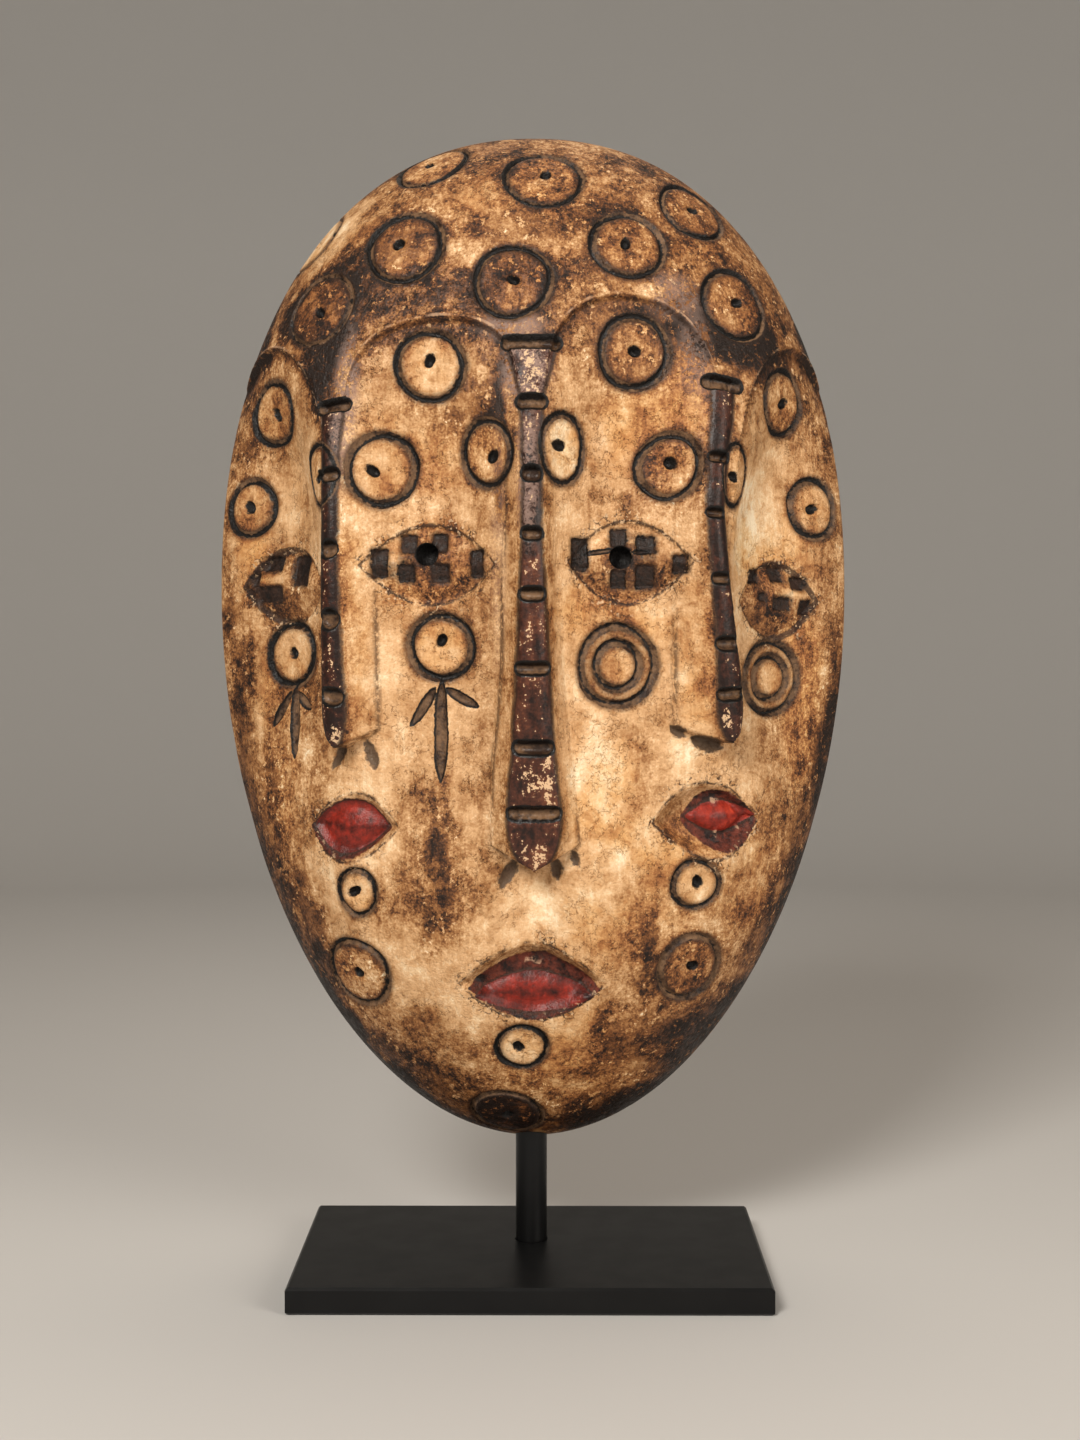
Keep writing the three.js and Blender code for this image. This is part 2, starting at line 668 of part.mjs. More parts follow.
const maskOnStand = new THREE.Group();
maskOnStand.add(
  mesh('mask', maskGeometry(), { color: 0xc9a676, roughness: 0.6, metalness: 0 }),
  mesh('rod', rodGeometry(), { color: 0x141414, roughness: 0.4, metalness: 0.6 }),
  mesh('base_plate', plateGeometry(), { color: 0x161616, roughness: 0.45, metalness: 0.6 }),
);

export default maskOnStand;
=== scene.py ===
import math

import bpy
import numpy as np
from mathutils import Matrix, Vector
from mathutils.geometry import delaunay_2d_cdt


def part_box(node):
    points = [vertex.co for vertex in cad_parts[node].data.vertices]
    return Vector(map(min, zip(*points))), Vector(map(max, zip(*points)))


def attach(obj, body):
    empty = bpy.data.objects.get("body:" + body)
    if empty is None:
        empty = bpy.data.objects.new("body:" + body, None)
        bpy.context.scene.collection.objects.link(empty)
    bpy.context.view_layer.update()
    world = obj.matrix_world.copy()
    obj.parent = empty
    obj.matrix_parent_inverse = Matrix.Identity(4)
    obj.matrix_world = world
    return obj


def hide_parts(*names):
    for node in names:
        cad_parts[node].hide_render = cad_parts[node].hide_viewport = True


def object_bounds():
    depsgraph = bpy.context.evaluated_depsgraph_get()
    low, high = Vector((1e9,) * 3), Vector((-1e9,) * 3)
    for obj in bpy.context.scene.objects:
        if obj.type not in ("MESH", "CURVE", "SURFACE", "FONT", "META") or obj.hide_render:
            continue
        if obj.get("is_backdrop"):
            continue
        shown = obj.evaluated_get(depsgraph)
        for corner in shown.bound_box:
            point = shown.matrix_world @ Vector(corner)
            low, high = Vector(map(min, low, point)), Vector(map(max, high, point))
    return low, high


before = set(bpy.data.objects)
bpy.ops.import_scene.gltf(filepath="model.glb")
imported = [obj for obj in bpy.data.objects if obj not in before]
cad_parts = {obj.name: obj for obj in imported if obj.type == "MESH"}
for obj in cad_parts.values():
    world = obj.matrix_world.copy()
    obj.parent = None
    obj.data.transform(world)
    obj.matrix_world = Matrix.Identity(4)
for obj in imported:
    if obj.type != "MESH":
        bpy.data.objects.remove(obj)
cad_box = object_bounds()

# A carved wooden mask with three faces, on a steel rod and a steel base plate.
# Shapes are worked out in millimetres, in the frame's own axes, and become metres in mesh_from.
MM = 0.001

# The egg that the mask is carved from, as in the solids, and the egg that it is hollowed by
EGG = {
    "x": 0.6, "y": 18, "z": 257,
    "half_width": 120, "up": 175, "down": 208.5, "deep": 74,
    "up_power": 2.2, "down_power": 1.95, "side_power": 2.15,
    "band": 12, "tuck": 3.5,
}
HOLLOW = {**EGG, "half_width": 106, "up": 161, "down": 170, "deep": 50}
QUARTER = math.pi / 2
BAND_TURN = 0.12
BACK_EDGE = QUARTER + BAND_TURN

# The rod, and the place on the egg where it goes in
ROD = {"radius": 6, "y": 7, "clearance": 0.3, "end_gap": 0.2, "sides": 96}
ROD_LOW, ROD_HIGH = (corner.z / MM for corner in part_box("rod"))
CHIN = (0, -290)

# A place on the carved side is (across, up): millimetres along the surface from the egg's front.
# A nose is a dark strip on a ridge. Each row of a line is (up, value). A wing is the ridge's side:
# its edge's distance from the line, the share of the height that is kept there for the edge to drop,
# how its bottom edge rises away from the tip, and the up below which the edge has a line of painted shadow.
# "red" is how bright the strip's varnish is.
NOSES = {
    "left": {
        "line": [(100, -76), (-57, -75)], "width": [(72, 5), (45, 3.4), (17, 3.4), (-9, 4), (-40, 5.4)],
        "top": 74, "knee": -42, "tip": -58, "high": 8, "grows": (60, -45), "fades": (-62, -118),
        "red": 0.14,
        "wings": {
            -1: {"edge": [(100, 7), (-60, 9)], "kept": 0.1, "lift": 1, "drawn": -70},
            1: {"edge": [(60, 8), (20, 15), (-60, 15.5)], "kept": 0.16, "lift": 0.55, "drawn": 0},
        },
        "notches": [(72, 7.8, 3.2), (45, 4.6, 3.2), (17, 4.3, 4), (-9, 4.6, 4.6), (-38, 5.4, 4)],
    },
    "mid": {
        "line": [(100, 0), (0, 0.3), (-100, 1)], "top": 92, "knee": -80, "tip": -100,
        "width": [(92, 9.5), (70, 4), (45, 3.2), (20, 3.4), (0, 4.4), (-26, 5.8), (-54, 7.4), (-78, 9.6)],
        "high": 9, "grows": (75, -85), "fades": (-108, -172), "red": 0.38,
        "wings": {
            -1: {"edge": [(92, 12), (45, 9.6), (20, 10), (-2, 10.9), (-24, 11.4), (-44, 13.2), (-64, 15.4),
                          (-95, 16)], "kept": 0.3, "lift": 0.56, "drawn": 46},
            1: {"edge": [(92, 12), (45, 7.5), (-2, 8.6), (-44, 12), (-64, 14.5), (-79, 16), (-95, 17.3)],
                "kept": 0.14, "lift": 0.52, "drawn": -82},
        },
        "notches": [(91, 11.5, 3.2), (68, 6, 3.2), (42, 4.2, 3.4), (21, 4.4, 2.8), (0, 5, 3),
                    (-26, 6.6, 2.8), (-54, 8, 3.2), (-78, 10.2, 3.2)],
    },
    "right": {
        "line": [(84, 74), (50, 69.5), (30, 67.3), (0, 70.5), (-30, 74.5), (-56, 76.5)],
        "width": [(82, 5), (51, 3.8), (30, 3.4), (6, 3.6), (-19, 4.5), (-40, 6)],
        "top": 84, "knee": -40, "tip": -56, "high": 8, "grows": (60, -45), "fades": (-60, -116),
        "red": 0.2,
        "wings": {
            -1: {"edge": [(60, 8), (30, 12.5), (0, 15.4), (-30, 19.3), (-60, 21.5)],
                 "kept": 0.26, "lift": 0.35, "drawn": 8},
            1: {"edge": [(100, 7), (-60, 9.5)], "kept": 0.1, "lift": 1, "drawn": -70},
        },
        "notches": [(81, 9.4, 3.6), (51, 4.8, 2.6), (30, 4.2, 2.4), (6, 4.4, 2.6), (-18, 5.2, 3.2),
                    (-37, 6.6, 3)],
    },
}
STRIP_DOME = 1.2
STRIP_MARGIN = 1
WING_LEAST = 3
NOTCH_DEPTH = 2

# The four hollow panels between the noses and the rim. Arch: middle, half width, top, height, power.
PANELS = [
    {"from": None, "to": "left", "deep": 14.5, "lean": 0.55, "arch": (-150, 72, 122, 80, 2)},
    {"from": "left", "to": "mid", "deep": 15.5, "lean": 0.1, "arch": (-38, 33, 103, 30, 2.5)},
    {"from": "mid", "to": "right", "deep": 15.5, "lean": -0.1, "arch": (38, 33, 113, 40, 2.3)},
    {"from": "right", "to": None, "deep": 14.5, "lean": -0.55, "arch": (150, 72, 122, 80, 2)},
]
PANEL_RIM = 165
PANEL_INSET = {"between": 4, "outer": 3}
PANEL_RAMP = 62
PANEL_FADE = (-150, -5)
ARCH_STEP = 2.4
ARCH_LIP = 0.5

# A groove is steeper on one side, the same one but for the turned rings, and has a black line where it is
# deepest, painted shadow of the steep wall with some soot. The line's half width is less in the soft and
# the faint rings.
DOT = {"radius": 2.3, "depth": 2.6}
RING_DEPTH = 1.8
STEEP_SIDE = math.radians(170)
TURNED_RINGS = [(-58, 47), (-16, 51), (-35, -19)]
RING_KINDS = {
    "soft": [(33, -26), (110, -35), (-75, -162), (-70, -118), (65, -113)],
    "faint": [(-114, 187), (-89, 120), (-12, -245), (66, -154)],
}
SHADOW_AND_SOOT_LINE = {"plain": 0.78, "soft": 0.5, "faint": 0.2}

# Rings: across, up, radius, the inner ring's radius or 0 for a dot, how narrow it is from side to
# side, the dot's own place off the middle, the groove's half width, and how dark the wood inside is
RINGS = [
    (-48, 207, 13.2, 0, 1, (-1.5, 1), 1.0, 0.58), (5, 178, 13.8, 0, 1, (0.6, 1.6), 1.1, 0.66),
    (73, 175, 13, 0, 1, (0, 0.8), 1.1, 0.72), (-114, 187, 13, 0, 1, (0, 0), 0.9, 0.18),
    (-51, 140, 14, 0, 1, (-2.6, 1.2), 1.5, 0.8), (-7, 117, 13.4, 0, 1, (0, 0.6), 1.3, 0.78),
    (38, 138, 13, 0, 1, (-1, 0.5), 1.4, 0.7), (84, 120, 13.2, 0, 1, (0.5, 1), 1.1, 0.74),
    (-89, 120, 13.8, 0, 1, (0, -1.2), 1.0, 0.86), (-38, 85, 12, 0, 1, (-0.4, 1.8), 1.45, 0.34),
    (39, 91, 12.4, 0, 1, (0.2, 0.3), 1.6, 0.74), (-125, 86, 11.4, 0, 1, (1, -0.6), 1.3, 0.48),
    (116, 87, 11.4, 0, 1, (0.8, 0), 1.3, 0.52), (-58, 47, 12.2, 0, 1, (-2.8, -0.7), 1.6, 0.38),
    (-16, 51, 11.6, 0, 0.83, (1.8, -1), 1.6, 0.56), (11, 52, 11.8, 0, 0.76, (-1.3, 1.2), 1.5, 0.14),
    (53, 48, 11.4, 0, 1, (0.3, 1.2), 1.7, 0.54), (-82, 46, 11, 0, 0.8, (0, -0.4), 1.2, 0.44),
    (78, 45, 11, 0, 0.62, (-1.5, -0.6), 1.1, 0.36), (-144, 44, 10.4, 0, 1, (-1, 0.2), 1.4, 0.4),
    (143, 43, 10.6, 0, 1, (-0.6, 0.2), 1.5, 0.4), (-112, -25, 11.2, 0, 1, (-0.2, 0.3), 1.6, 0.36),
    (-35, -19, 11.2, 0, 1, (0.2, 2.2), 1.6, 0.28), (33, -26, 13.8, 8.2, 1, (0, 0), 1.6, 0.36),
    (110, -35, 13.2, 8, 1, (0, 0), 1.5, 0.34), (-70, -118, 8.5, 0, 0.85, (-1.2, 0.5), 1.2, 0.26),
    (-75, -162, 13.2, 0, 1, (0, 0.4), 1.4, 0.66), (65, -113, 8.7, 0, 1, (0.6, 0.5), 1.1, 0.3),
    (66, -154, 12.4, 0, 1, (1, 0.5), 1.4, 0.66), (-4, -184, 9, 0, 1, (-1.3, 0), 1.0, 0.22),
    (-12, -245, 13.2, 0, 1, (0, 0), 1.2, 1.05),
]

# Eyes: almonds with a bulge, how dark the wood is in them, and square cuts as (across, up, half width,
# half height). Two have a blind pupil. The others have a border that is wider towards the rim, and a
# paler leaf as (across, up, half length, half height).
EYES = [
    {"at": (-39, 11), "long": 24.5, "high": 14.5, "hole": (-1.4, 4), "tone": 0.46,
     "cuts": [(-17.9, 0.6, 3, 5.3), (-7.9, 7.5, 3.1, 3.7), (3.2, 8, 3.2, 3.4), (-8.4, -3, 3.1, 3.4),
              (3.6, -2.8, 3.5, 3.6), (17.2, 0.3, 2.6, 5.1)]},
    {"at": (37, 12), "long": 22.5, "high": 15, "hole": (-2.6, 1.8), "tone": 0.44,
     "cuts": [(-17.8, 2.5, 3.2, 6), (-3.4, 8.6, 2.9, 3.5), (6.2, 6.2, 3.5, 3.4), (-3.5, -6, 2.8, 3.6),
              (6, -5, 3.5, 4.4), (18, -0.8, 2.6, 3.6)]},
    {"at": (-113.5, 4.5), "long": 22, "high": 14.4, "hole": None, "tone": 0.6, "border": 2,
     "leaf": (-8.5, 2.6, 10, 2.2),
     "cuts": [(-8.3, 8.4, 4.6, 2.8), (6.2, 5.6, 4.6, 5.8), (-16.4, 2.6, 2.2, 2.6), (-9.6, -2.6, 6.4, 3)]},
    {"at": (114, -2), "long": 19.5, "high": 14.4, "hole": None, "tone": 0.58, "border": 1.4,
     "leaf": (6.5, 2.9, 8.5, 1.7),
     "cuts": [(-10.6, 9, 2.8, 2.6), (0.5, 9.8, 3.2, 2.8), (10.3, 6.8, 3.8, 2.5), (-7, 1.4, 2, 1.8),
              (2.1, -0.9, 4, 2.7), (13.6, -2.2, 3.6, 2.8)]},
]
EYE = {
    "socket": 1.8, "bulge": 3.6, "cut": 1.5, "hole": 4.2, "hole_deep": 5.8,
    "low_tone": 0.16, "hole_tone": 0.4, "leaf_tone": 0.36,
}

# Mouths: almonds cut in, with a dark almond and a lens of two red lips in them as
# (across, up, half length, half height), how bright the red is, and teeth like square cuts
MOUTHS = [
    {"at": (0, -150), "long": 26.5, "high": 14.4, "deep": 6, "dark": (0.8, -2.2, 24.2, 11.8),
     "lips": (0.8, -4.9, 22, 7), "red": 0.38,
     "teeth": [(-2.2, 6, 0.8, 1.8), (0.4, 6.4, 0.8, 2), (3, 6.2, 0.8, 1.8)]},
    {"at": (-72.5, -91), "long": 18, "high": 12.5, "deep": 4.6, "dark": (-1.8, -0.6, 16.2, 11),
     "lips": (-1.8, 0, 15, 9.6), "red": 0.42, "teeth": []},
    {"at": (71, -88), "long": 21.5, "high": 14, "deep": 5.5, "dark": (5.4, -0.6, 15.2, 11.4),
     "lips": (6.2, 0.6, 14.2, 5.6), "red": 0.68,
     "teeth": [(3.6, -5.8, 0.8, 1.8), (13.6, -3.9, 0.6, 1.2), (4.4, 6.4, 0.9, 1.3), (6.6, 6.4, 0.6, 1.2)]},
]
MOUTH = {"lips_rise": 2.8, "tooth_rise": 1, "tone": 0.5, "slit": 0.25}

# Strokes, as across and up of both ends and half the width: the three-pronged tails under two rings
# and two thin cuts across an eye, and the marks below the noses
STROKES = [
    {"at": (-35, -19), "cuts": [(-2, -15, -10.5, -28, 2), (2, -15, 13.6, -21, 2),
                                (0.2, -12.5, 0.6, -48, 2.6)]},
    {"at": (-112, -25), "cuts": [(0.5, -14, -7, -27, 1.8), (3, -14, 11, -20, 1.8),
                                 (2.4, -12, 5, -38, 2.4)]},
    {"at": (37, 12), "cuts": [(-16.4, 2.7, -5, 4.4, 1), (1, 3.6, 7.4, 3.8, 1)]},
]
NOSTRILS = [
    {"at": (0, -99), "cuts": [(-6, 1, -11, -9, 2.6), (8, 2, 9.6, -6, 2.4), (14.6, 4.5, 16.4, -1, 1.8)]},
    {"at": (-70, -59), "cuts": [(-4, 2, -10, -8, 2.2), (4, 3, 8, -7, 2.4)]},
    {"at": (62, -53), "cuts": [(-6.5, 3.5, -2, -0.5, 2.4), (1, -1, 12, -5, 3)]},
]
STROKE_DEPTH = 1.5

# Stains, worn places and paint, among them a brown one that is painted shade beside the left nose and cream
# ones that are partly painted highlights beside the strips: across, up, reach across, reach up, strength
STAINS = {
    "dark": [
        (-85, 122, 24, 29, 0.95), (-83, 91, 11, 24, 0.9), (-145, 144, 16, 36, 0.6), (84, 103, 24, 19, 0.9),
        (148, 150, 10, 34, 0.8), (-35, -99, 6, 20, 0.7), (-29, -77, 2.5, 13, 0.5), (-36, -125, 5, 11, 0.5),
        (163, -95, 14, 67, 0.95), (146, -170, 14, 50, 0.9), (-105, -236, 20, 58, 0.95),
        (-68, -274, 29, 30, 0.95), (50, -260, 36, 26, 0.8), (81, -209, 30, 30, 0.65),
        (-128, -116, 9, 52, 0.6), (41, -135, 5, 16, 0.5), (-10, 30, 4, 7, 0.6), (-150, -46, 7, 35, 0.5),
        (-12, -245, 15, 14, 0.9), (-105, 124, 13, 22, 0.8), (25, -207, 14, 6, 0.5), (-15, 66, 8, 22, 0.7),
        (-101, -158, 9, 34, 0.5), (101, -163, 8, 20, 0.4), (-136, -158, 26, 66, 0.5),
        (138, -158, 26, 60, 0.55), (-26, 72, 8, 6, 0.4), (-104, -132, 13, 20, 0.5), (-154, -8, 8, 14, 0.5),
    ],
    "brown": [
        (-6, 112, 28, 27, 0.75), (38, 152, 28, 36, 0.7), (-36, 116, 25, 17, 0.85), (-28, 70, 22, 9, 0.9),
        (-85, 104, 24, 30, 0.5), (-139, 77, 22, 10, 0.6), (5, 175, 25, 26, 0.5), (-44, 209, 37, 40, 0.4),
        (84, 122, 21, 29, 0.7), (40, 94, 30, 20, 0.85), (104, 75, 30, 23, 0.3), (54, 44, 15, 16, 0.5),
        (-53, 138, 28, 30, 0.6), (122, -91, 26, 56, 0.5), (-106, -60, 22, 52, 0.6),
        (48, -184, 24, 24, 0.95), (-104, -162, 24, 52, 0.75), (-42, -97, 16, 27, 0.7),
        (-75, -223, 34, 36, 0.55), (74, -152, 24, 36, 0.5), (64, 186, 40, 26, 0.55), (-18, -40, 8, 62, 0.5),
        (-150, -112, 14, 50, 0.7), (126, -166, 26, 58, 0.75), (-120, 5, 20, 26, 0.4),
        (112, 122, 20, 40, 0.35), (-7, 147, 17, 12, 0.7), (-36, -118, 15, 18, 0.9),
        (-100, -130, 14, 26, 0.8), (-16, 66, 7, 22, 1), (44, -62, 8, 18, 0.5), (40, 76, 14, 6, 0.6),
        # The brown stain at -92, -32 is painted shade beside the left nose
        (14, 197, 9, 8, 0.8), (-92, -32, 15, 30, 0.9), (50, -148, 18, 20, 1), (-48, 152, 18, 10, 0.5),
        (98, 160, 10, 10, 0.5), (36, 126, 32, 10, 0.6), (-28, 126, 12, 9, 0.5), (-15, 48, 9, 20, 0.5),
        (54, 38, 14, 9, 0.5), (-56, -114, 9, 22, 0.7), (34, 33, 14, 7, 0.4), (116, -178, 30, 30, 0.5),
        (-112, -178, 26, 34, 0.5),
    ],
    "gold": [
        (-67, -2, 6.5, 59, 0.5), (49, 73, 26, 23, 0.6), (34, -76, 19, 22, 0.35), (110, 15, 36, 26, 0.4),
        (-142, 17, 14, 48, 0.4), (-39, 54, 32, 22, 0.4), (30, -9, 23, 15, 0.4), (134, -48, 20, 48, 0.7),
        (-44, 13, 23, 22, 0.4), (63, -20, 8, 34, 0.4), (70, -120, 60, 40, 0.4), (30, -200, 60, 40, 0.5),
        (10, 150, 90, 40, 0.35), (-120, -60, 20, 60, 0.4),
    ],
    "pale": [
        (-23, -46, 20, 40, 0.5), (29, 53, 12, 13, 0.8), (26, -53, 24, 36, 1), (4, -121, 26, 16, 0.8),
        (-67, -108, 17, 26, 0.8), (85, 28, 18, 22, 1), (-124, 38, 18, 14, 1), (-34, 87, 19, 19, 0.6),
        (66, -55, 11, 16, 0.8), (-36, -156, 22, 24, 0.5), (13, -188, 12, 26, 0.9), (-142, 20, 15, 15, 1.8),
        (-98, 164, 30, 22, 1.6), (-136, 182, 20, 22, 0.7), (112, 66, 30, 12, 1), (112, -80, 18, 14, 0.8),
        (-86, -120, 10, 24, 1.5), (104, 34, 26, 14, 0.7), (-58, -38, 12, 30, 0.7), (50, -20, 11, 24, 1),
        (14, -16, 6, 36, 1), (78, -70, 10, 8, 0.8), (16, -202, 14, 14, 1.2), (92, 20, 18, 12, 1.3),
        (124, 23, 28, 12, 1), (44, -92, 14, 14, 1.2), (-20, 165, 18, 8, 0.7), (-86, 8, 13, 18, 1.2),
        (-140, -40, 10, 32, 0.6), (104, -8, 24, 16, 1.2), (58, -98, 10, 16, 0.7), (28, 182, 9, 10, 0.8),
        (-16, 181, 9, 9, 0.7),
    ],
    # Some of the cream stains, those beside the strips, are partly painted highlights
    "cream": [
        (23, -82, 13, 42, 0.8), (90, 30, 12, 24, 1), (27, 50, 8, 22, 0.15), (-62, -70, 12, 18, 0.6),
        (2, -118, 18, 10, 0.5), (-98, 187, 20, 18, 1.6), (14, 38, 6, 14, 0.7), (62, -64, 10, 7, 1),
        (72, -96, 24, 8, 0.4),
    ],
    "mauve": [
        (-71, 73, 5, 31, 0.8), (-2, 81, 9, 13, 1), (-7, 98, 12, 5, 0.8), (56, 117, 13, 10, 0.6),
        (63, 93, 6, 21, 0.5), (-1, 43, 4, 24, 0.8), (-12, 19, 3, 42, 0.35),
    ],
    "worn": [
        (-2, -66, 5, 5.5, 1), (-4, -91, 3, 6, 0.9), (5, -88, 3, 4, 0.5), (7, -64, 4, 8, 0.6),
        (-1, 30, 2.4, 7, 0.5), (-1, 53, 2.4, 9, 0.5), (-74, -51, 3, 5, 0.9), (72.5, -46, 1.6, 6, 1),
        (2, -40, 5, 9, 0.4), (0, 80, 6, 9, 0.6),
    ],
}

# How much darker each kind of stain makes the paint
TONES = {"dark": 0.5, "brown": 0.3, "gold": 0.08, "pale": -0.16, "cream": -0.14}

# How dark the bare paint is, how much darker it is towards the sides, in part as painted shade, the chin
# and the brow, and what painted shade, with some dirt, adds beside the noses' strips, in the rings and
# under the arches
BASE_TONE = {"plain": 0.38, "sides": 0.24, "chin": 0.22, "brow": 0.16, "crown": -0.07}
SHADE_AND_DIRT_TONE = {"strip": 0.2, "ring": 0.14, "arch": 0.2}
BARE_TONE = 0.6

# What the carver's knife left: how far the cuts' outlines wander, and the unevenness of the surface
WANDER = {"reach": 0.3, "size": 6, "seeds": (41, 42, 43)}
KNIFE = {"lumps": 0.45, "strokes": 0.14, "pits": 0.5, "inward": 0.3}
SCOOPS = {"large": 1.5, "small": 0.35}

# Fineness of the mesh: the grids in front and in the hollow, the points round the back edge and the
# holes, the grid's distance from carved features, and the distance at which two points become one
GRID = 2.2
HOLLOW_GRID = 3.8
EDGE_POINTS = 288
PUPIL_SIDES = 28
ROD_HOLE_SIDES = 32
CLEAR = 1.0
SAME = 0.28
HOLE_CLEAR = 0.35
FEATURE_END = QUARTER - 0.01
GRID_END = QUARTER - 0.012
FAR = 20.0

# Where mesh points follow a feature, in shares of its width or in millimetres out from its edge.
# A groove's rows have both, a dot's have radius and count, and the rim's have the share of the way
# inward and the lift. Along a feature the points are spaced in millimetres.
GROOVE_ROWS = ((0.4, 0), (0.8, 0), (1, 0.1), (1, 0.8))
DOT_ROWS = ((0.9, 8), (1.5, 14), (2.1, 18), (2.7, 20))
RIM_ROWS = ((0.06, -0.3), (0.2, -0.03), (0.5, 0), (0.8, -0.03), (0.94, -0.3))
RIM_EDGE = 1
SPACING = {"ring": 1.05, "nose": 1.1, "tip": 0.9, "cut": 0.8}
ALMOND_POINTS_PER_MM = 1.25
ROWS = {
    "notch": (-1.6, -0.8, -0.2, 0.4),
    "strip": (0, 0.35, -0.35, 0.7, -0.7),
    "strip edge": (-0.5, 0, 0.5, 1.2),
    "wing": (0.4, 0.7),
    "wing edge": (-1, -0.15, 0.35, 0.9, 1.7),
    "tip": (0.9, 0.25, -0.4, -1, -1.7, -2.6),
    "eye": (1, 0, -0.8, -1.6, -2.6),
    "cut": (0.3, -0.15, -0.6, -1.3),
    "mouth": (1, 0, -0.8, -1.8, -3, -4.4, -6),
    "lips": (1.08, 1, 0.9, 0.75, 0.55, 0.35, 0.15),
    "stroke": (-1.25, -1, -0.7, 0, 0.7, 1, 1.25),
    "arch": (2.4, 1.5, 0.6, 0, -0.6, -1.1, -1.7, -2.6),
    "band": (0.12, 0.3, 0.55, 0.8, 1),
}


# Small helpers
def smooth(x, start, end):
    t = np.clip((x - start) / (end - start), 0, 1)
    return t * t * (3 - 2 * t)


def along(rows, up):
    ups, values = zip(*reversed(rows))
    return np.interp(up, ups, values)


def stack(*parts):
    return np.stack(parts, axis=-1)


def unit(vectors):
    return vectors / np.linalg.norm(vectors, axis=-1, keepdims=True)


def dot(a, b):
    return np.sum(a * b, axis=-1)


def lattice(ix, iy, iz, seed):
    """A repeatable value from 0 to 1 for each whole-numbered place."""
    mixed = (ix * 374761393 + iy * 668265263 + iz * 2147483647 + seed * 974634777) & 0xFFFFFFFF
    mixed = ((mixed ^ (mixed >> 13)) * 1274126177) & 0xFFFFFFFF
    return ((mixed ^ (mixed >> 16)) & 0xFFFF) / 0xFFFF


def value_noise(points, size, seed):
    """Smooth noise from -1 to 1 with lumps of about the given size."""
    scaled = points / size
    cell = np.floor(scaled).astype(np.int64)
    t = scaled - cell
    t = t * t * (3 - 2 * t)
    total = 0
    for corner in range(8):
        step = np.array([corner & 1, (corner >> 1) & 1, corner >> 2])
        weight = np.prod(np.where(step, t, 1 - t), axis=-1)
        total = total + weight * lattice(*np.moveaxis(cell + step, -1, 0), seed)
    return total * 2 - 1


def layered_noise(points, size, octaves, seed):
    return sum(value_noise(points, size / 2**i, seed + i) / 2**i for i in range(octaves))


def flat_circle(x, y, radius, count):
    angle = np.arange(count) * 2 * math.pi / count
    return stack(x + radius * np.cos(angle), y + radius * np.sin(angle))


def at_height(flat, height):
    return np.column_stack([flat, np.full(len(flat), height)])


# The uncarved egg
def turn_from_front(across, up, egg=EGG):
    """0 at the egg's front, a quarter turn at its widest outline, and more on the band behind that."""
    reach = np.where(up > 0, egg["up"], egg["down"])
    power = np.where(up > 0, egg["up_power"], egg["down_power"])
    return ((np.abs(across) / egg["half_width"]) ** power + (np.abs(up) / reach) ** power) ** (1 / power)


def egg_point(across, up, egg=EGG):
    turn = np.maximum(turn_from_front(across, up, egg), 1e-6)
    ahead = np.minimum(turn, QUARTER)
    s = np.sin(ahead)
    c = np.maximum(np.cos(ahead), 0)
    side = egg["side_power"]
    size = (s**side + c**side) ** (-1 / side)
    past = np.maximum(0, (turn - QUARTER) / (BACK_EDGE - QUARTER))
    spread = (size * s - egg["tuck"] / egg["half_width"] * past**4) / turn
    return stack(egg["x"] + across * spread,
                 egg["y"] - egg["deep"] * size * c + egg["band"] * past,
                 egg["z"] + up * spread)


def egg_frame(across, up, egg=EGG):
    """The egg's point, and its directions to the right, upward and outward there."""
    step = 0.05
    right = unit(egg_point(across + step, up, egg) - egg_point(across - step, up, egg))
    high = unit(egg_point(across, up + step, egg) - egg_point(across, up - step, egg))
    return egg_point(across, up, egg), right, high, unit(np.cross(right, high))


# Noses and panels
def ridge_height(nose, up):
    return nose["high"] * smooth(up, *nose["grows"]) * (1 - smooth(up, *nose["fades"]))


def strip_half_width(nose, up):
    t = np.clip((nose["knee"] - up) / (nose["knee"] - nose["tip"]), 0, 1)
    return along(nose["width"], up) * np.sqrt(1 - t * t)


def beside_strip(nose, across, up):
    """A strip's half width, and a place's distance from its line, signed and plain, and from its edge."""
    half = strip_half_width(nose, up)
    offset = across - along(nose["line"], up)
    aside = np.abs(offset)
    away = np.hypot(np.maximum(aside - half, 0), np.maximum(nose["tip"] - up, 0))
    return half, offset, aside, away


def wing_width(nose, side, up):
    return np.maximum(along(nose["wings"][side]["edge"], up), strip_half_width(nose, up) + WING_LEAST)


def ridge_share(nose, across, up):
    """1 on a nose's strip, sloping to its wing's edge, and 0 past the edge and below the tip."""
    half, offset, aside, away = beside_strip(nose, across, up)
    share = np.zeros_like(across)
    for side, wing in nose["wings"].items():
        total = wing_width(nose, side, up)
        slope = np.clip(away / (total - half), 0, 1)
        here = 1 - (1 - wing["kept"]) * slope**0.85
        here = here * (1 - smooth(aside - total, -0.1, 0.9))
        here = here * smooth(up - nose["tip"] - wing["lift"] * aside, -1.6, 0.2)
        share = np.where(offset * side >= 0, here, share)
    return share


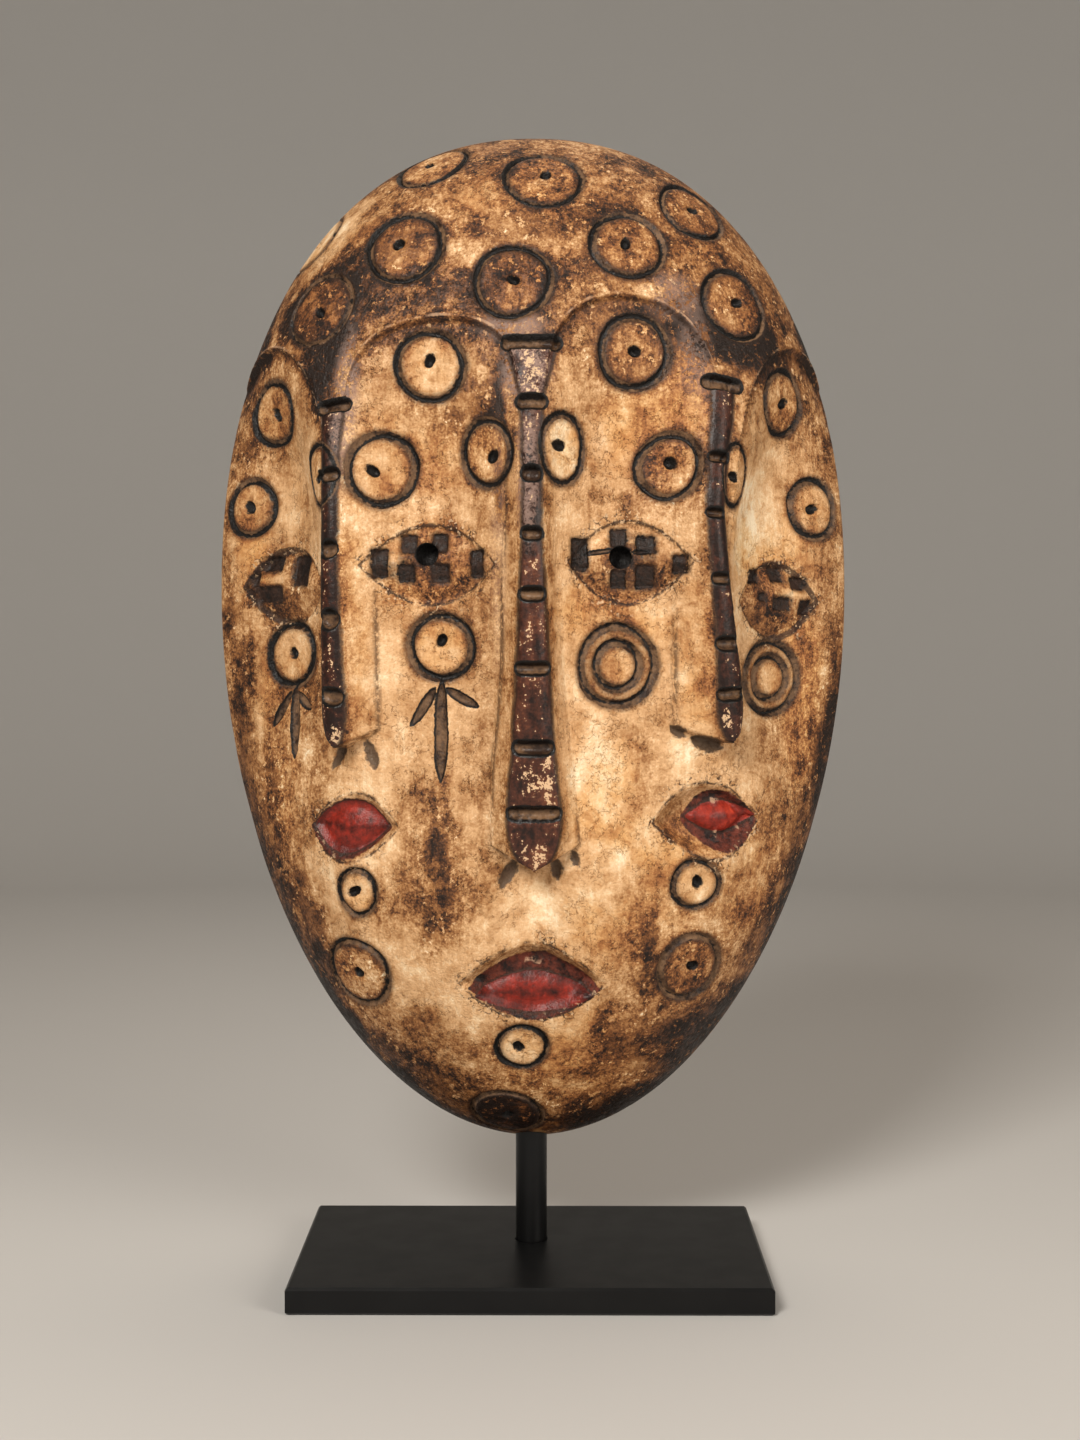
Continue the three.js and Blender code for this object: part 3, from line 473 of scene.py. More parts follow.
def crease_gap(nose, across, up):
    """Distance from the lines of painted shadow along the edges and under the bottoms of a nose's wings."""
    _, offset, aside, _ = beside_strip(nose, across, up)
    gap = np.full_like(across, FAR)
    for side, wing in nose["wings"].items():
        total = wing_width(nose, side, up)
        above = up - nose["tip"] - wing["lift"] * aside
        edge = np.abs(aside - total) + np.maximum(up - wing["drawn"], 0) * 0.3 + np.maximum(-above, 0)
        bottom = np.abs(above + 0.8) + np.maximum(aside - total, 0)
        gap = np.where(offset * side >= 0, np.minimum(edge, bottom), gap)
    return gap


def ridges(across, up):
    return sum(ridge_height(nose, up) * ridge_share(nose, across, up) for nose in NOSES.values())


def arch_top(arch, across):
    middle, half, top, height, power = arch
    s = np.clip(np.abs(across - middle) / half, 0, 1)
    return top - height * (1 - (1 - s**power) ** (1 / power))


def panel_depth(across, up):
    depth = np.zeros_like(across)
    for panel in PANELS:
        start, end = panel["from"], panel["to"]
        inset = PANEL_INSET["between"] if start and end else PANEL_INSET["outer"]
        low = along(NOSES[start]["line"], up) + inset if start else np.full_like(up, -PANEL_RIM)
        high = along(NOSES[end]["line"], up) - inset if end else np.full_like(up, PANEL_RIM)
        low_deep = ridge_height(NOSES[start], up) if start else 0
        high_deep = ridge_height(NOSES[end], up) if end else 0
        s = (2 * across - low - high) / (high - low)
        inside = np.abs(s) < 1
        s = np.clip(s, -1, 1)
        sides = low_deep * (1 - s) / 2 + high_deep * (1 + s) / 2
        below = arch_top(panel["arch"], across) - up
        trough = panel["deep"] * smooth(below, -4, PANEL_RAMP) * smooth(up, *PANEL_FADE)
        step = ARCH_STEP * smooth(below, 0, 1.6) * np.clip(1 - trough / 8, 0, 1) * smooth(up, -20, 30)
        lip = ARCH_LIP * smooth(below, -2.4, -0.6) * (1 - smooth(below, -0.4, 0.4)) * smooth(up, 20, 50)
        here = sides * s * s + trough * (1 - s * s) * (1 + panel["lean"] * s) + step * (1 - s**8) - lip
        depth = np.where(inside, here, depth)
    for nose in NOSES.values():
        under = np.abs(across - along(nose["line"], up)) <= PANEL_INSET["between"] + 0.01
        depth = np.where(under, ridge_height(nose, up), depth)
    return depth


def shaped_point(across, up):
    """The egg with its panels sunk and its noses standing."""
    at, _, _, out = egg_frame(across, up)
    return at + out * (ridges(across, up) - panel_depth(across, up))[..., None]


# Distances from the middle of a feature, in its own tangent plane
def chart(place):
    across, up = (np.float64(value) for value in place)
    _, right, high, out = egg_frame(across, up)
    return {"place": place, "at": shaped_point(across, up), "right": right, "high": high, "out": out}


def local(here, points):
    offset = points - here["at"]
    return dot(offset, here["right"]), dot(offset, here["high"])


def chart_places(here, u, v):
    """The places whose shaped points lie at u, v in the chart."""
    u, v = np.broadcast_arrays(np.asarray(u, float), np.asarray(v, float))
    across, up = here["place"][0] + u, here["place"][1] + v
    for _ in range(6):
        got_u, got_v = local(here, shaped_point(across, up))
        across = across + np.clip(u - got_u, -3, 3)
        up = up + np.clip(v - got_v, -3, 3)
    return stack(across, up)


for owner in (*EYES, *MOUTHS, *STROKES, *NOSTRILS):
    owner["frame"] = chart(owner["at"])
RING_KEYS = ("radius", "inner", "narrow", "dot", "groove", "tone")
RING_CHARTS = [{**chart(row[:2]), **dict(zip(RING_KEYS, row[2:])), "phase": 2.4 * i}
               for i, row in enumerate(RINGS)]
for ring in RING_CHARTS:
    ring["radii"] = [radius for radius in (ring["radius"], ring["inner"]) if radius]
    turned = math.pi if ring["place"] in TURNED_RINGS else 0
    ring["steep"] = STEEP_SIDE + turned + 0.6 * math.sin(ring["phase"])
    kinds = [kind for kind, places in RING_KINDS.items() if ring["place"] in places]
    ring["soot"] = SHADOW_AND_SOOT_LINE[kinds[0] if kinds else "plain"]


def from_ring(ring, points):
    """Distance from a ring's middle, the angle round it, and where that is in its chart."""
    u, v = local(ring, points)
    offset = points - ring["at"]
    away = np.sqrt(dot(offset, offset) + u * u * (ring["narrow"] ** -2 - 1))
    angle = np.arctan2(v, u)
    wobble = 1 + 0.016 * np.sin(2 * angle + ring["phase"]) + 0.009 * np.sin(3 * angle - 2 * ring["phase"])
    return away / wobble, angle, u, v


def deepest_line(ring, angle):
    """How far a groove's deepest line lies outward from the groove's middle."""
    return ring["groove"] * (0.6 * np.cos(angle - ring["steep"]) + 0.15 * np.sin(2 * angle + ring["phase"]))


def almond(u, v, length, high):
    """1 in the middle of an almond and 0 on its edge."""
    return 1 - (u / length) ** 2 - np.abs(v) / high


def lens(u, v, row):
    """An almond given by a row of its middle, half length and half height."""
    middle_u, middle_v, length, high = row
    return almond(u - middle_u, v - middle_v, length, high)


def box_gap(u, v, cut):
    """Signed distance outside a square cut with rounded corners."""
    cu, cv, half_u, half_v = cut
    soft = 1
    du = np.abs(u - cu) - half_u + soft
    dv = np.abs(v - cv) - half_v + soft
    return np.hypot(np.maximum(du, 0), np.maximum(dv, 0)) + np.minimum(np.maximum(du, dv), 0) - soft


def taper(t):
    """A stroke's width along it, 1 in the middle and little at both ends."""
    return np.sqrt(np.maximum(0.05, 4 * t * (1 - t)))


def stroke_gap(u, v, cut):
    """Signed distance outside a stroke that tapers to both ends."""
    u0, v0, u1, v1, half = cut
    du, dv = u1 - u0, v1 - v0
    t = np.clip(((u - u0) * du + (v - v0) * dv) / (du * du + dv * dv), 0, 1)
    return np.hypot(u - u0 - t * du, v - v0 - t * dv) - half * taper(t)


# The paint before its cuts
def stain(name, across, up):
    total = np.zeros_like(across)
    for at_across, at_up, wide, tall, strength in STAINS[name]:
        away = np.hypot((across - at_across) / wide, (up - at_up) / tall)
        total = np.maximum(total, strength * (1 - smooth(away, 0.5, 1.4)))
    return total


def base_tone(across, up):
    """How dark the paint and wood are before noise: 0 ivory, 0.5 golden brown, 1 black."""
    flat = stack(across, up, 0 * up)
    warp = [5 * layered_noise(flat, 16, 3, seed) for seed in (21, 31)]
    turn = turn_from_front(across, up)
    # Darker towards the sides, in part as painted shade where the surface turns away
    tone = BASE_TONE["plain"] + BASE_TONE["sides"] * smooth(turn, 0.95, 1.5)
    tone += BASE_TONE["chin"] * smooth(up, -150, -230)
    tone += BASE_TONE["brow"] * smooth(up, 70, 120) + BASE_TONE["crown"] * smooth(up, 140, 175)
    for name, weight in TONES.items():
        tone = tone + weight * stain(name, across + warp[0], up + warp[1])
    return tone


# Everything that is cut into the shaped surface
DISTANCES = ("ring", "core", "dot", "strip", "notch", "crease", "arch", "eye", "cut", "mouth", "gum",
             "lips", "tooth", "stroke", "nostril")


class Carving:
    """The small carving's height over the shaped surface, and fields in millimetres for the paint."""

    def __init__(self, across, up):
        self.across, self.up = across, up
        self.base = shaped_point(across, up)
        noises = [value_noise(self.base, WANDER["size"], seed) for seed in WANDER["seeds"]]
        self.wander = WANDER["reach"] * stack(*noises)
        self.points = self.base + self.wander
        self.height = np.zeros_like(across)
        self.fields = {name: np.full_like(across, FAR) for name in DISTANCES}
        for name in ("brow", "red", "border"):
            self.fields[name] = np.zeros_like(across)
        for name in ("gold", "mauve", "worn"):
            self.fields[name] = stain(name, across, up)
        self.fields["tone"] = base_tone(across, up)

    def nearest(self, name, gap):
        self.fields[name] = np.minimum(self.fields[name], gap)

    def fill(self, name, inside, value):
        self.fields[name] = np.where(inside, value, self.fields[name])

    def sunk(self, name, start, end):
        """0 outside a feature and 1 well inside it."""
        return smooth(-self.fields[name], start, end)

    def noses(self):
        across, up = self.across, self.up
        for nose in NOSES.values():
            half, _, aside, away = beside_strip(nose, across + self.wander[:, 0], up)
            gap = np.maximum(np.where(away > 0, away, aside - half), up - nose["top"])
            self.nearest("strip", gap)
            self.fill("red", gap < 1.5, nose["red"])
            self.nearest("crease", crease_gap(nose, across, up))
            below_top = smooth(up, nose["top"] + 1, nose["top"] - 4)
            dome = STRIP_DOME * (1 - (aside / np.maximum(half, 0.1)) ** 2) * below_top
            self.height += np.where(away > 0, 0, dome)
            for level, half_long, half_high in nose["notches"]:
                rise = (up - level) / half_high
                gap = np.hypot(np.maximum(aside - half_long + half_high, 0), rise * half_high) - half_high
                self.nearest("notch", gap)
                self.fill("brow", gap < 0.8, rise)
        self.height -= (NOTCH_DEPTH + STRIP_DOME * (self.fields["strip"] < 0)) * self.sunk("notch", 0, 2.2)

    def rings(self):
        clear_of_strips = np.clip(self.fields["strip"], 0, STRIP_MARGIN) / STRIP_MARGIN
        for ring in RING_CHARTS:
            away, angle, u, v = from_ring(ring, self.points)
            wide, deepest = ring["groove"], deepest_line(ring, angle)
            self.fill("tone", away < ring["radius"], ring["tone"])
            self.fill("gold", away < ring["radius"], 0.2 + 0.4 * ring["tone"])
            for radius in ring["radii"]:
                off = away - radius
                reach = np.where(off < deepest, (off + wide) / (deepest + wide),
                                 (wide - off) / (wide - deepest))
                cut_in = RING_DEPTH * (wide / 1.6) ** 0.5 * np.clip(reach, 0, 1) ** 0.7
                self.height -= cut_in * clear_of_strips
                self.nearest("ring", np.abs(off) - wide)
                # The black line of painted shadow and soot along the groove's deepest line
                self.nearest("core", np.abs(off - deepest) - ring["soot"])
            if not ring["inner"]:
                u, v = u - ring["dot"][0], v - ring["dot"][1]
                slant = 1 + 0.14 * np.sin(2 * np.arctan2(v, u) + ring["phase"])
                self.nearest("dot", np.hypot(u, v) * slant - DOT["radius"])
        self.height -= DOT["depth"] * np.clip(-1.6 * self.fields["dot"] / DOT["radius"], 0, 1) ** 0.6

    def eyes(self):
        for eye in EYES:
            u, v = local(eye["frame"], self.points)
            inside = almond(u, v, eye["long"], eye["high"])
            self.nearest("eye", -inside * eye["high"])
            held = np.clip(inside, 0, 1)
            socket = EYE["socket"] * smooth(inside * eye["high"], 0, 1.5)
            self.height += EYE["bulge"] * held * (2 - held) - socket
            tone = eye["tone"] + EYE["low_tone"] * smooth(v, 4, -6)
            if eye["hole"]:
                away = np.hypot(u - eye["hole"][0], v - eye["hole"][1])
                self.nearest("dot", away - EYE["hole"])
                tone += EYE["hole_tone"] * smooth(away, 10, 3)
            else:
                tone -= EYE["leaf_tone"] * smooth(lens(u, v, eye["leaf"]), -0.2, 0.5)
                outward = u * np.sign(eye["at"][0])
                border = eye["border"] * smooth(outward, -12, 8) * (np.abs(inside) < 1)
                self.fields["border"] = np.maximum(self.fields["border"], border)
            self.fill("tone", inside > 0, tone)
            for cut in eye["cuts"]:
                self.nearest("cut", box_gap(u, v, cut))
        self.height -= EYE["cut"] * self.sunk("cut", -0.3, 0.6)

    def mouths(self):
        for mouth in MOUTHS:
            u, v = local(mouth["frame"], self.points)
            inside = almond(u, v, mouth["long"], mouth["high"])
            lips = lens(u, v, mouth["lips"])
            self.nearest("mouth", -inside * mouth["high"])
            self.nearest("lips", -lips * mouth["lips"][3])
            self.nearest("gum", -lens(u, v, mouth["dark"]) * mouth["dark"][3])
            held = np.clip(lips, 0, 1)
            hollow = mouth["deep"] * smooth(inside * mouth["high"], 0, 6)
            self.height += MOUTH["lips_rise"] * held * (2 - held) - hollow
            slit = MOUTH["slit"] * smooth(np.abs(v - mouth["lips"][1]), 1.3, 0.2)
            self.fill("red", inside > 0, mouth["red"] - slit)
            self.fill("tone", inside > 0, MOUTH["tone"])
            for tooth in mouth["teeth"]:
                self.nearest("tooth", box_gap(u, v, tooth))
        self.height += MOUTH["tooth_rise"] * self.sunk("tooth", -0.4, 0.5)

    def strokes(self):
        for name, groups in (("stroke", STROKES), ("nostril", NOSTRILS)):
            for group in groups:
                u, v = local(group["frame"], self.points)
                for cut in group["cuts"]:
                    self.nearest(name, stroke_gap(u, v, cut))
            self.height -= STROKE_DEPTH * self.sunk(name, -0.2, 1.5)

    def shade_and_dirt(self):
        for panel in PANELS:
            below = arch_top(panel["arch"], self.across) - self.up
            beside = np.abs(self.across - panel["arch"][0]) < panel["arch"][1]
            nearer = beside & (np.abs(below) < np.abs(self.fields["arch"]))
            self.fill("arch", nearer, below)
        arch = self.fields["arch"]
        # Painted shade, with some dirt, beside the noses' strips, round the rings' grooves and under the
        # arches
        shade_and_dirt = SHADE_AND_DIRT_TONE["strip"] * smooth(self.fields["strip"], 5, 0.5)
        shade_and_dirt += SHADE_AND_DIRT_TONE["ring"] * smooth(self.fields["ring"], 2.5, 0)
        shade_and_dirt += SHADE_AND_DIRT_TONE["arch"] * smooth(arch, 13, 0) * smooth(arch, -0.5, 0.5)
        self.fields["tone"] += shade_and_dirt * (self.fields["eye"] > 0) * (self.fields["mouth"] > 0)


def hand_work(points, turn):
    """The unevenness that the carver's knife and the years have left, a little inward on the whole."""
    lumps = KNIFE["lumps"] * value_noise(points, 26, 3)
    strokes = KNIFE["strokes"] * value_noise(points * [1, 1, 0.35], 7, 5)
    pits = KNIFE["pits"] * np.clip(value_noise(points, 3.1, 7) - 0.45, 0, 1)
    return (lumps + strokes) * (1 - smooth(turn, 1.1, QUARTER)) - KNIFE["inward"] - pits


def carved_surface(places):
    """The carved surface's points at the places, and the fields for their paint."""
    across, up = places[:, 0], places[:, 1]
    work = Carving(across, up)
    for carve in (work.noses, work.rings, work.eyes, work.mouths, work.strokes, work.shade_and_dirt):
        carve()
    height = work.height + hand_work(work.base, turn_from_front(across, up))
    out = egg_frame(across, up)[3]
    return work.base + out * height[:, None], work.fields


# Places that the mesh must pass through
def ring_places(ring, radius, count):
    places = flat_circle(*ring["place"], radius, count)
    for _ in range(9):
        away = from_ring(ring, shaped_point(*places.T))[0]
        places = ring["place"] + (places - ring["place"]) * np.sqrt(radius / away)[:, None]
    return places


def all_ring_places():
    places = []
    for ring in RING_CHARTS:
        wide = ring["groove"]
        offsets = [0] + [side * (share * wide + past) for share, past in GROOVE_ROWS for side in (-1, 1)]
        for radius in ring["radii"]:
            count = max(36, round(2 * math.pi * radius / SPACING["ring"]))
            places += [ring_places(ring, radius + off, count) for off in offsets]
        if not ring["inner"]:
            places.append(chart_places(ring, *ring["dot"])[None])
            for radius, count in DOT_ROWS:
                places.append(chart_places(ring, *flat_circle(*ring["dot"], radius, count).T))
    return places


def nose_places():
    places = []
    for nose in NOSES.values():
        rows = list(np.arange(nose["tip"] - 2, nose["top"] + 2, SPACING["nose"]))
        for level, _, half_high in nose["notches"]:
            rows += [level + side * (half_high + off) for side in (-1, 1) for off in ROWS["notch"]]
        rows = np.array(sorted(rows))
        middle = along(nose["line"], rows)
        half = np.maximum(strip_half_width(nose, rows), 0.3)
        places += [stack(middle + share * half, rows) for share in ROWS["strip"]]
        for side, wing in nose["wings"].items():
            total = wing_width(nose, side, rows)
            offsets = [half + off for off in ROWS["strip edge"]]
            offsets += [half + share * (total - half) for share in ROWS["wing"]]
            offsets += [total + off for off in ROWS["wing edge"]]
            places += [stack(middle + side * offset, rows) for offset in offsets]
            reach = np.arange(0, total[0] + 1, SPACING["tip"])
            for off in ROWS["tip"]:
                level = nose["tip"] + wing["lift"] * reach + off
                places.append(stack(along(nose["line"], level) + side * reach, level))
    return places


def almond_places(here, middle, length, high):
    count = max(6, round(length * ALMOND_POINTS_PER_MM))
    u = length * np.sin(np.linspace(-QUARTER, QUARTER, 2 * count + 1))
    v = high * (1 - (u / length) ** 2)
    return [chart_places(here, middle[0] + u, middle[1] + side * v) for side in (-1, 1)]


def edge_places(owner, offsets):
    """Almonds that follow the edge of an eye or a mouth."""
    places = []
    for off in offsets:
        ratio = 1 + off / owner["high"]
        places += almond_places(owner["frame"], (0, 0), owner["long"] * ratio, owner["high"] * ratio)
    return places


def eye_places():
    places = []
    for eye in EYES:
        places += edge_places(eye, ROWS["eye"])
        for cut_u, cut_v, half_u, half_v in eye["cuts"]:
            for off in ROWS["cut"]:
                wide, tall = half_u + off, half_v + off
                u = np.linspace(-wide, wide, max(3, round(wide * 2 / SPACING["cut"])))
                v = np.linspace(-tall, tall, max(3, round(tall * 2 / SPACING["cut"])))
                for side in (-1, 1):
                    places.append(chart_places(eye["frame"], cut_u + u, cut_v + side * tall))
                    places.append(chart_places(eye["frame"], cut_u + side * wide, cut_v + v))
    return places


def mouth_places():
    places = []
    for mouth in MOUTHS:
        places += edge_places(mouth, ROWS["mouth"])
        *middle, length, high = mouth["lips"]
        for ratio in ROWS["lips"]:
            places += almond_places(mouth["frame"], middle, length * ratio, high * ratio)
    return places


def stroke_places():
    places = []
    for group in STROKES + NOSTRILS:
        for u0, v0, u1, v1, half in group["cuts"]:
            length = math.hypot(u1 - u0, v1 - v0)
            t = np.linspace(-0.04, 1.04, max(6, round(length)))
            wide = half * taper(t)
            side_u, side_v = -(v1 - v0) / length, (u1 - u0) / length
            for off in ROWS["stroke"]:
                u = u0 + t * (u1 - u0) + off * wide * side_u
                v = v0 + t * (v1 - v0) + off * wide * side_v
                places.append(chart_places(group["frame"], u, v))
    return places


def arch_places():
    places = []
    for panel in PANELS:
        middle, half = panel["arch"][:2]
        across = middle + half * np.sin(np.linspace(-QUARTER, QUARTER, 91))
        top = arch_top(panel["arch"], across)
        places += [stack(across, top + off) for off in ROWS["arch"]]
    return places


def outline_places(turn, egg=EGG, offset=0.0):
    angle = (np.arange(EDGE_POINTS) + offset) * 2 * math.pi / EDGE_POINTS
    across, up = egg["half_width"] * np.cos(angle), egg["up"] * np.sin(angle)
    size = turn / turn_from_front(across, up, egg)
    return stack(across * size, up * size)


def hex_places(spacing, limit, egg=EGG):
    rows = np.arange(-egg["down"] * limit, egg["up"] * limit, spacing * math.sqrt(3) / 2)
    columns = np.arange(-egg["half_width"] * limit, egg["half_width"] * limit, spacing)
    across, up = np.meshgrid(columns, rows)
    across = across + (np.arange(len(rows))[:, None] % 2) * spacing / 2
    places = stack(across.ravel(), up.ravel())
    return places[turn_from_front(*places.T, egg) < limit]


def first_in_each_cell(places, size):
    cells = np.floor(places / size).astype(np.int64)
    _, kept = np.unique(cells[:, 0] * 100003 + cells[:, 1], return_index=True)
    return places[np.sort(kept)]


def away_from(places, features, gap):
    """The places with no feature in their own or a neighbouring cell."""
    size = gap / 1.5
    low = np.minimum(places.min(0), features.min(0)) - 3 * size
    shape = np.ceil((np.maximum(places.max(0), features.max(0)) - low) / size).astype(int) + 4
    taken = np.zeros(shape, bool)
    cells = np.floor((features - low) / size).astype(int)
    for i in (-1, 0, 1):
        for j in (-1, 0, 1):
            taken[cells[:, 0] + i, cells[:, 1] + j] = True
    mine = np.floor((places - low) / size).astype(int)
    return places[~taken[mine[:, 0], mine[:, 1]]]


# Holes in the surface
def places_at(targets, axes, start):
    """The places whose surface points have the target values on two axes, by Newton's method."""
    def on_axes(places):
        return carved_surface(places)[0][:, axes]

    places = np.tile(np.array(start, float), (len(targets), 1))
    step = 0.02
    for _ in range(12):
        here = on_axes(places)
        over = on_axes(places + [step, 0])
        above = on_axes(places + [0, step])
        jacobian = stack((over - here) / step, (above - here) / step)
        move = np.linalg.solve(jacobian, (targets - here)[..., None])[..., 0]
        places = places + np.clip(move, -6, 6)
    return places


def pupil_holes():
    """For each pupil: how far back its front is, its circle from the front, and its places."""
    pupils = []
    for eye in EYES:
        if eye["hole"]:
            here, (u, v) = eye["frame"], eye["hole"]
            middle = here["at"] + here["right"] * u + here["high"] * v
            loop = flat_circle(middle[0], middle[2], EYE["hole"], PUPIL_SIDES)
            pupils.append((middle[1], loop, places_at(loop, [0, 2], np.add(eye["at"], (u, v)))))
    return pupils


def in_hole(places, loop):
    """Which places lie inside a loop, or close outside it."""
    def polar(offset):
        return np.arctan2(offset[:, 1], offset[:, 0]), np.linalg.norm(offset, axis=1)

    angle, reach = polar(loop - loop.mean(0))
    order = np.argsort(angle)
    turn, away = polar(places - loop.mean(0))
    return away < np.interp(turn, angle[order], reach[order], period=2 * math.pi) + HOLE_CLEAR


def triangulate(places, loops=()):
    """Triangles over flat places, without those that lie inside a loop of places."""
    points = [Vector(place) for place in places.tolist()]
    _, _, faces, origins, _, _ = delaunay_2d_cdt(points, [], [], 0, 1e-7)
    source = np.array([origin[0] for origin in origins])
    triangles = source[np.array(faces)]
    a, b, c = (places[triangles[:, i]] for i in range(3))
    turned = (b[:, 0] - a[:, 0]) * (c[:, 1] - a[:, 1]) - (b[:, 1] - a[:, 1]) * (c[:, 0] - a[:, 0]) < 0
    triangles[turned] = triangles[turned][:, ::-1]
    for start, count in loops:
        on_loop = (triangles >= start) & (triangles < start + count)
        triangles = triangles[~on_loop.all(axis=1)]
    return triangles


# Meshes
def add_to_scene(name, data):
    thing = bpy.data.objects.new(name, data)
    bpy.context.scene.collection.objects.link(thing)
    return thing


def mesh_from(name, points, faces):
    mesh = bpy.data.meshes.new(name)
    mesh.from_pydata((np.asarray(points) * MM).tolist(), [], faces)
    mesh.validate()
    mesh.shade_smooth()
    return add_to_scene(name, mesh)


def strip_of_quads(first, second):
    """Quads between two closed loops of vertex numbers."""
    count = len(first)
    return [[first[i], first[(i + 1) % count], second[(i + 1) % count], second[i]] for i in range(count)]


def turned_piece(name, y, profile, sides, caps):
    """A piece turned round an upright line from (radius, height) rows, of which the ends may be capped."""
    circles = [at_height(flat_circle(0, y, radius, sides), height) for radius, height in profile]
    rows = np.arange(len(circles) * sides).reshape(-1, sides).tolist()
    faces = []
    for low, high in zip(rows, rows[1:]):
        faces += strip_of_quads(low, high)
    if caps[0]:
        faces.append(rows[0][::-1])
    if caps[1]:
        faces.append(rows[-1])
    return mesh_from(name, np.concatenate(circles), faces)


# The mask, carved on its front and hollow behind
def front_places(loops):
    features = all_ring_places() + nose_places() + eye_places() + mouth_places() + stroke_places()
    features = first_in_each_cell(np.concatenate(features + arch_places()), SAME)
    features = features[turn_from_front(*features.T) < FEATURE_END]
    band = [outline_places(BACK_EDGE - BAND_TURN * share, offset=0.5 * (i % 2))
            for i, share in enumerate(ROWS["band"])]
    background = away_from(hex_places(GRID, GRID_END), features, CLEAR)
    inner = np.concatenate([features, background, *band])
    for loop in loops:
        inner = inner[~in_hole(inner, loop)]
    return np.concatenate([outline_places(BACK_EDGE), *loops, inner])


def hollow_surface():
    inner = hex_places(HOLLOW_GRID, BACK_EDGE - 0.02, HOLLOW)
    places = np.concatenate([outline_places(BACK_EDGE, HOLLOW), inner])
    at, _, _, out = egg_frame(*places.T, HOLLOW)
    scoops = SCOOPS["large"] * np.abs(value_noise(at * [1, 1, 0.6], 17, 11))
    scoops = scoops + SCOOPS["small"] * value_noise(at, 6, 12)
    scoops[:EDGE_POINTS] = 0
    return at - out * scoops[:, None], triangulate(places)[:, ::-1]


def mask_piece():
    pupils = pupil_holes()
    rod_loop = flat_circle(0, ROD["y"], ROD["radius"] + ROD["clearance"], ROD_HOLE_SIDES)
    loops = [pupil[2] for pupil in pupils] + [places_at(rod_loop, [0, 1], CHIN)]
    places = front_places(loops)
    starts = np.cumsum([EDGE_POINTS] + [len(loop) for loop in loops])
    triangles = triangulate(places, [(start, len(loop)) for start, loop in zip(starts, loops)])
    points, fields = carved_surface(places)
    hollow_points, hollow_triangles = hollow_surface()
    faces = triangles.tolist() + (hollow_triangles + len(points)).tolist()
    rows = [points, hollow_points]
    total = len(points) + len(hollow_points)

    def add_row(row):
        nonlocal total
        rows.append(row)
        total += len(row)
        return list(range(total - len(row), total))

    # The flat back rim, from the front's edge to the hollow's
    back_y = EGG["y"] + EGG["band"]
    rim = [list(range(EDGE_POINTS))]
    for share, lift in RIM_ROWS:
        row = points[:EDGE_POINTS] * (1 - share) + hollow_points[:EDGE_POINTS] * share
        row[:, 1] = back_y + lift
        rim.append(add_row(row))
    rim.append([len(points) + i for i in range(EDGE_POINTS)])
    for edge in (points, hollow_points):
        edge[:EDGE_POINTS, 1] = back_y - RIM_EDGE
    for first, second in zip(rim[1:], rim):
        faces += strip_of_quads(first, second)

    # The blind pupils, and the blind hole for the rod
    hole_rows = [list(range(start, start + len(loop))) for start, loop in zip(starts, loops)]
    for (front_y, loop, _), mouth_row in zip(pupils, hole_rows):
        depth = np.full(PUPIL_SIDES, front_y + EYE["hole_deep"])
        floor_row = add_row(np.column_stack([loop[:, 0], depth, loop[:, 1]]))
        faces += strip_of_quads(mouth_row, floor_row) + [floor_row]
    ceiling_row = add_row(at_height(rod_loop, ROD_HIGH + ROD["end_gap"]))
    faces += strip_of_quads(ceiling_row, hole_rows[-1]) + [ceiling_row[::-1]]

    # Past the carved front all is bare wood, but for the pupils, painted black as the shadow in their depth
    piece = mesh_from("carved_mask", np.concatenate(rows), faces)
    fields["bare"] = np.zeros(len(points))
    extra = total - len(points)
    beyond = {name: np.full(extra, FAR if name in DISTANCES else 0.0) for name in fields}
    beyond["bare"][:] = 1
    beyond["tone"][:] = BARE_TONE
    # The pupils' walls take the black of painted shadow
    in_pupils = slice(-PUPIL_SIDES * len(pupils) - ROD_HOLE_SIDES, -ROD_HOLE_SIDES)
    beyond["dot"][in_pupils] = -FAR
    beyond["bare"][in_pupils] = 0
    for name, values in fields.items():
        layer = piece.data.attributes.new(name, "FLOAT", "POINT")
        layer.data.foreach_set("value", np.concatenate([values, beyond[name]]).astype(np.float32))
    return piece


# The rod, round and with its foot in the plate
def rod_piece():
    profile = [(ROD["radius"], level) for level in np.linspace(ROD_LOW, ROD_HIGH, 12)]
    piece = turned_piece("steel_rod", ROD["y"], profile, ROD["sides"], caps=(True, True))
    for polygon in piece.data.polygons:
        polygon.use_smooth = len(polygon.vertices) == 4
    return piece


# Materials
def linear(red, green, blue):
    def channel(value):
        value /= 255
        return value / 12.92 if value <= 0.04045 else ((value + 0.055) / 1.055) ** 2.4
    return (channel(red), channel(green), channel(blue), 1.0)


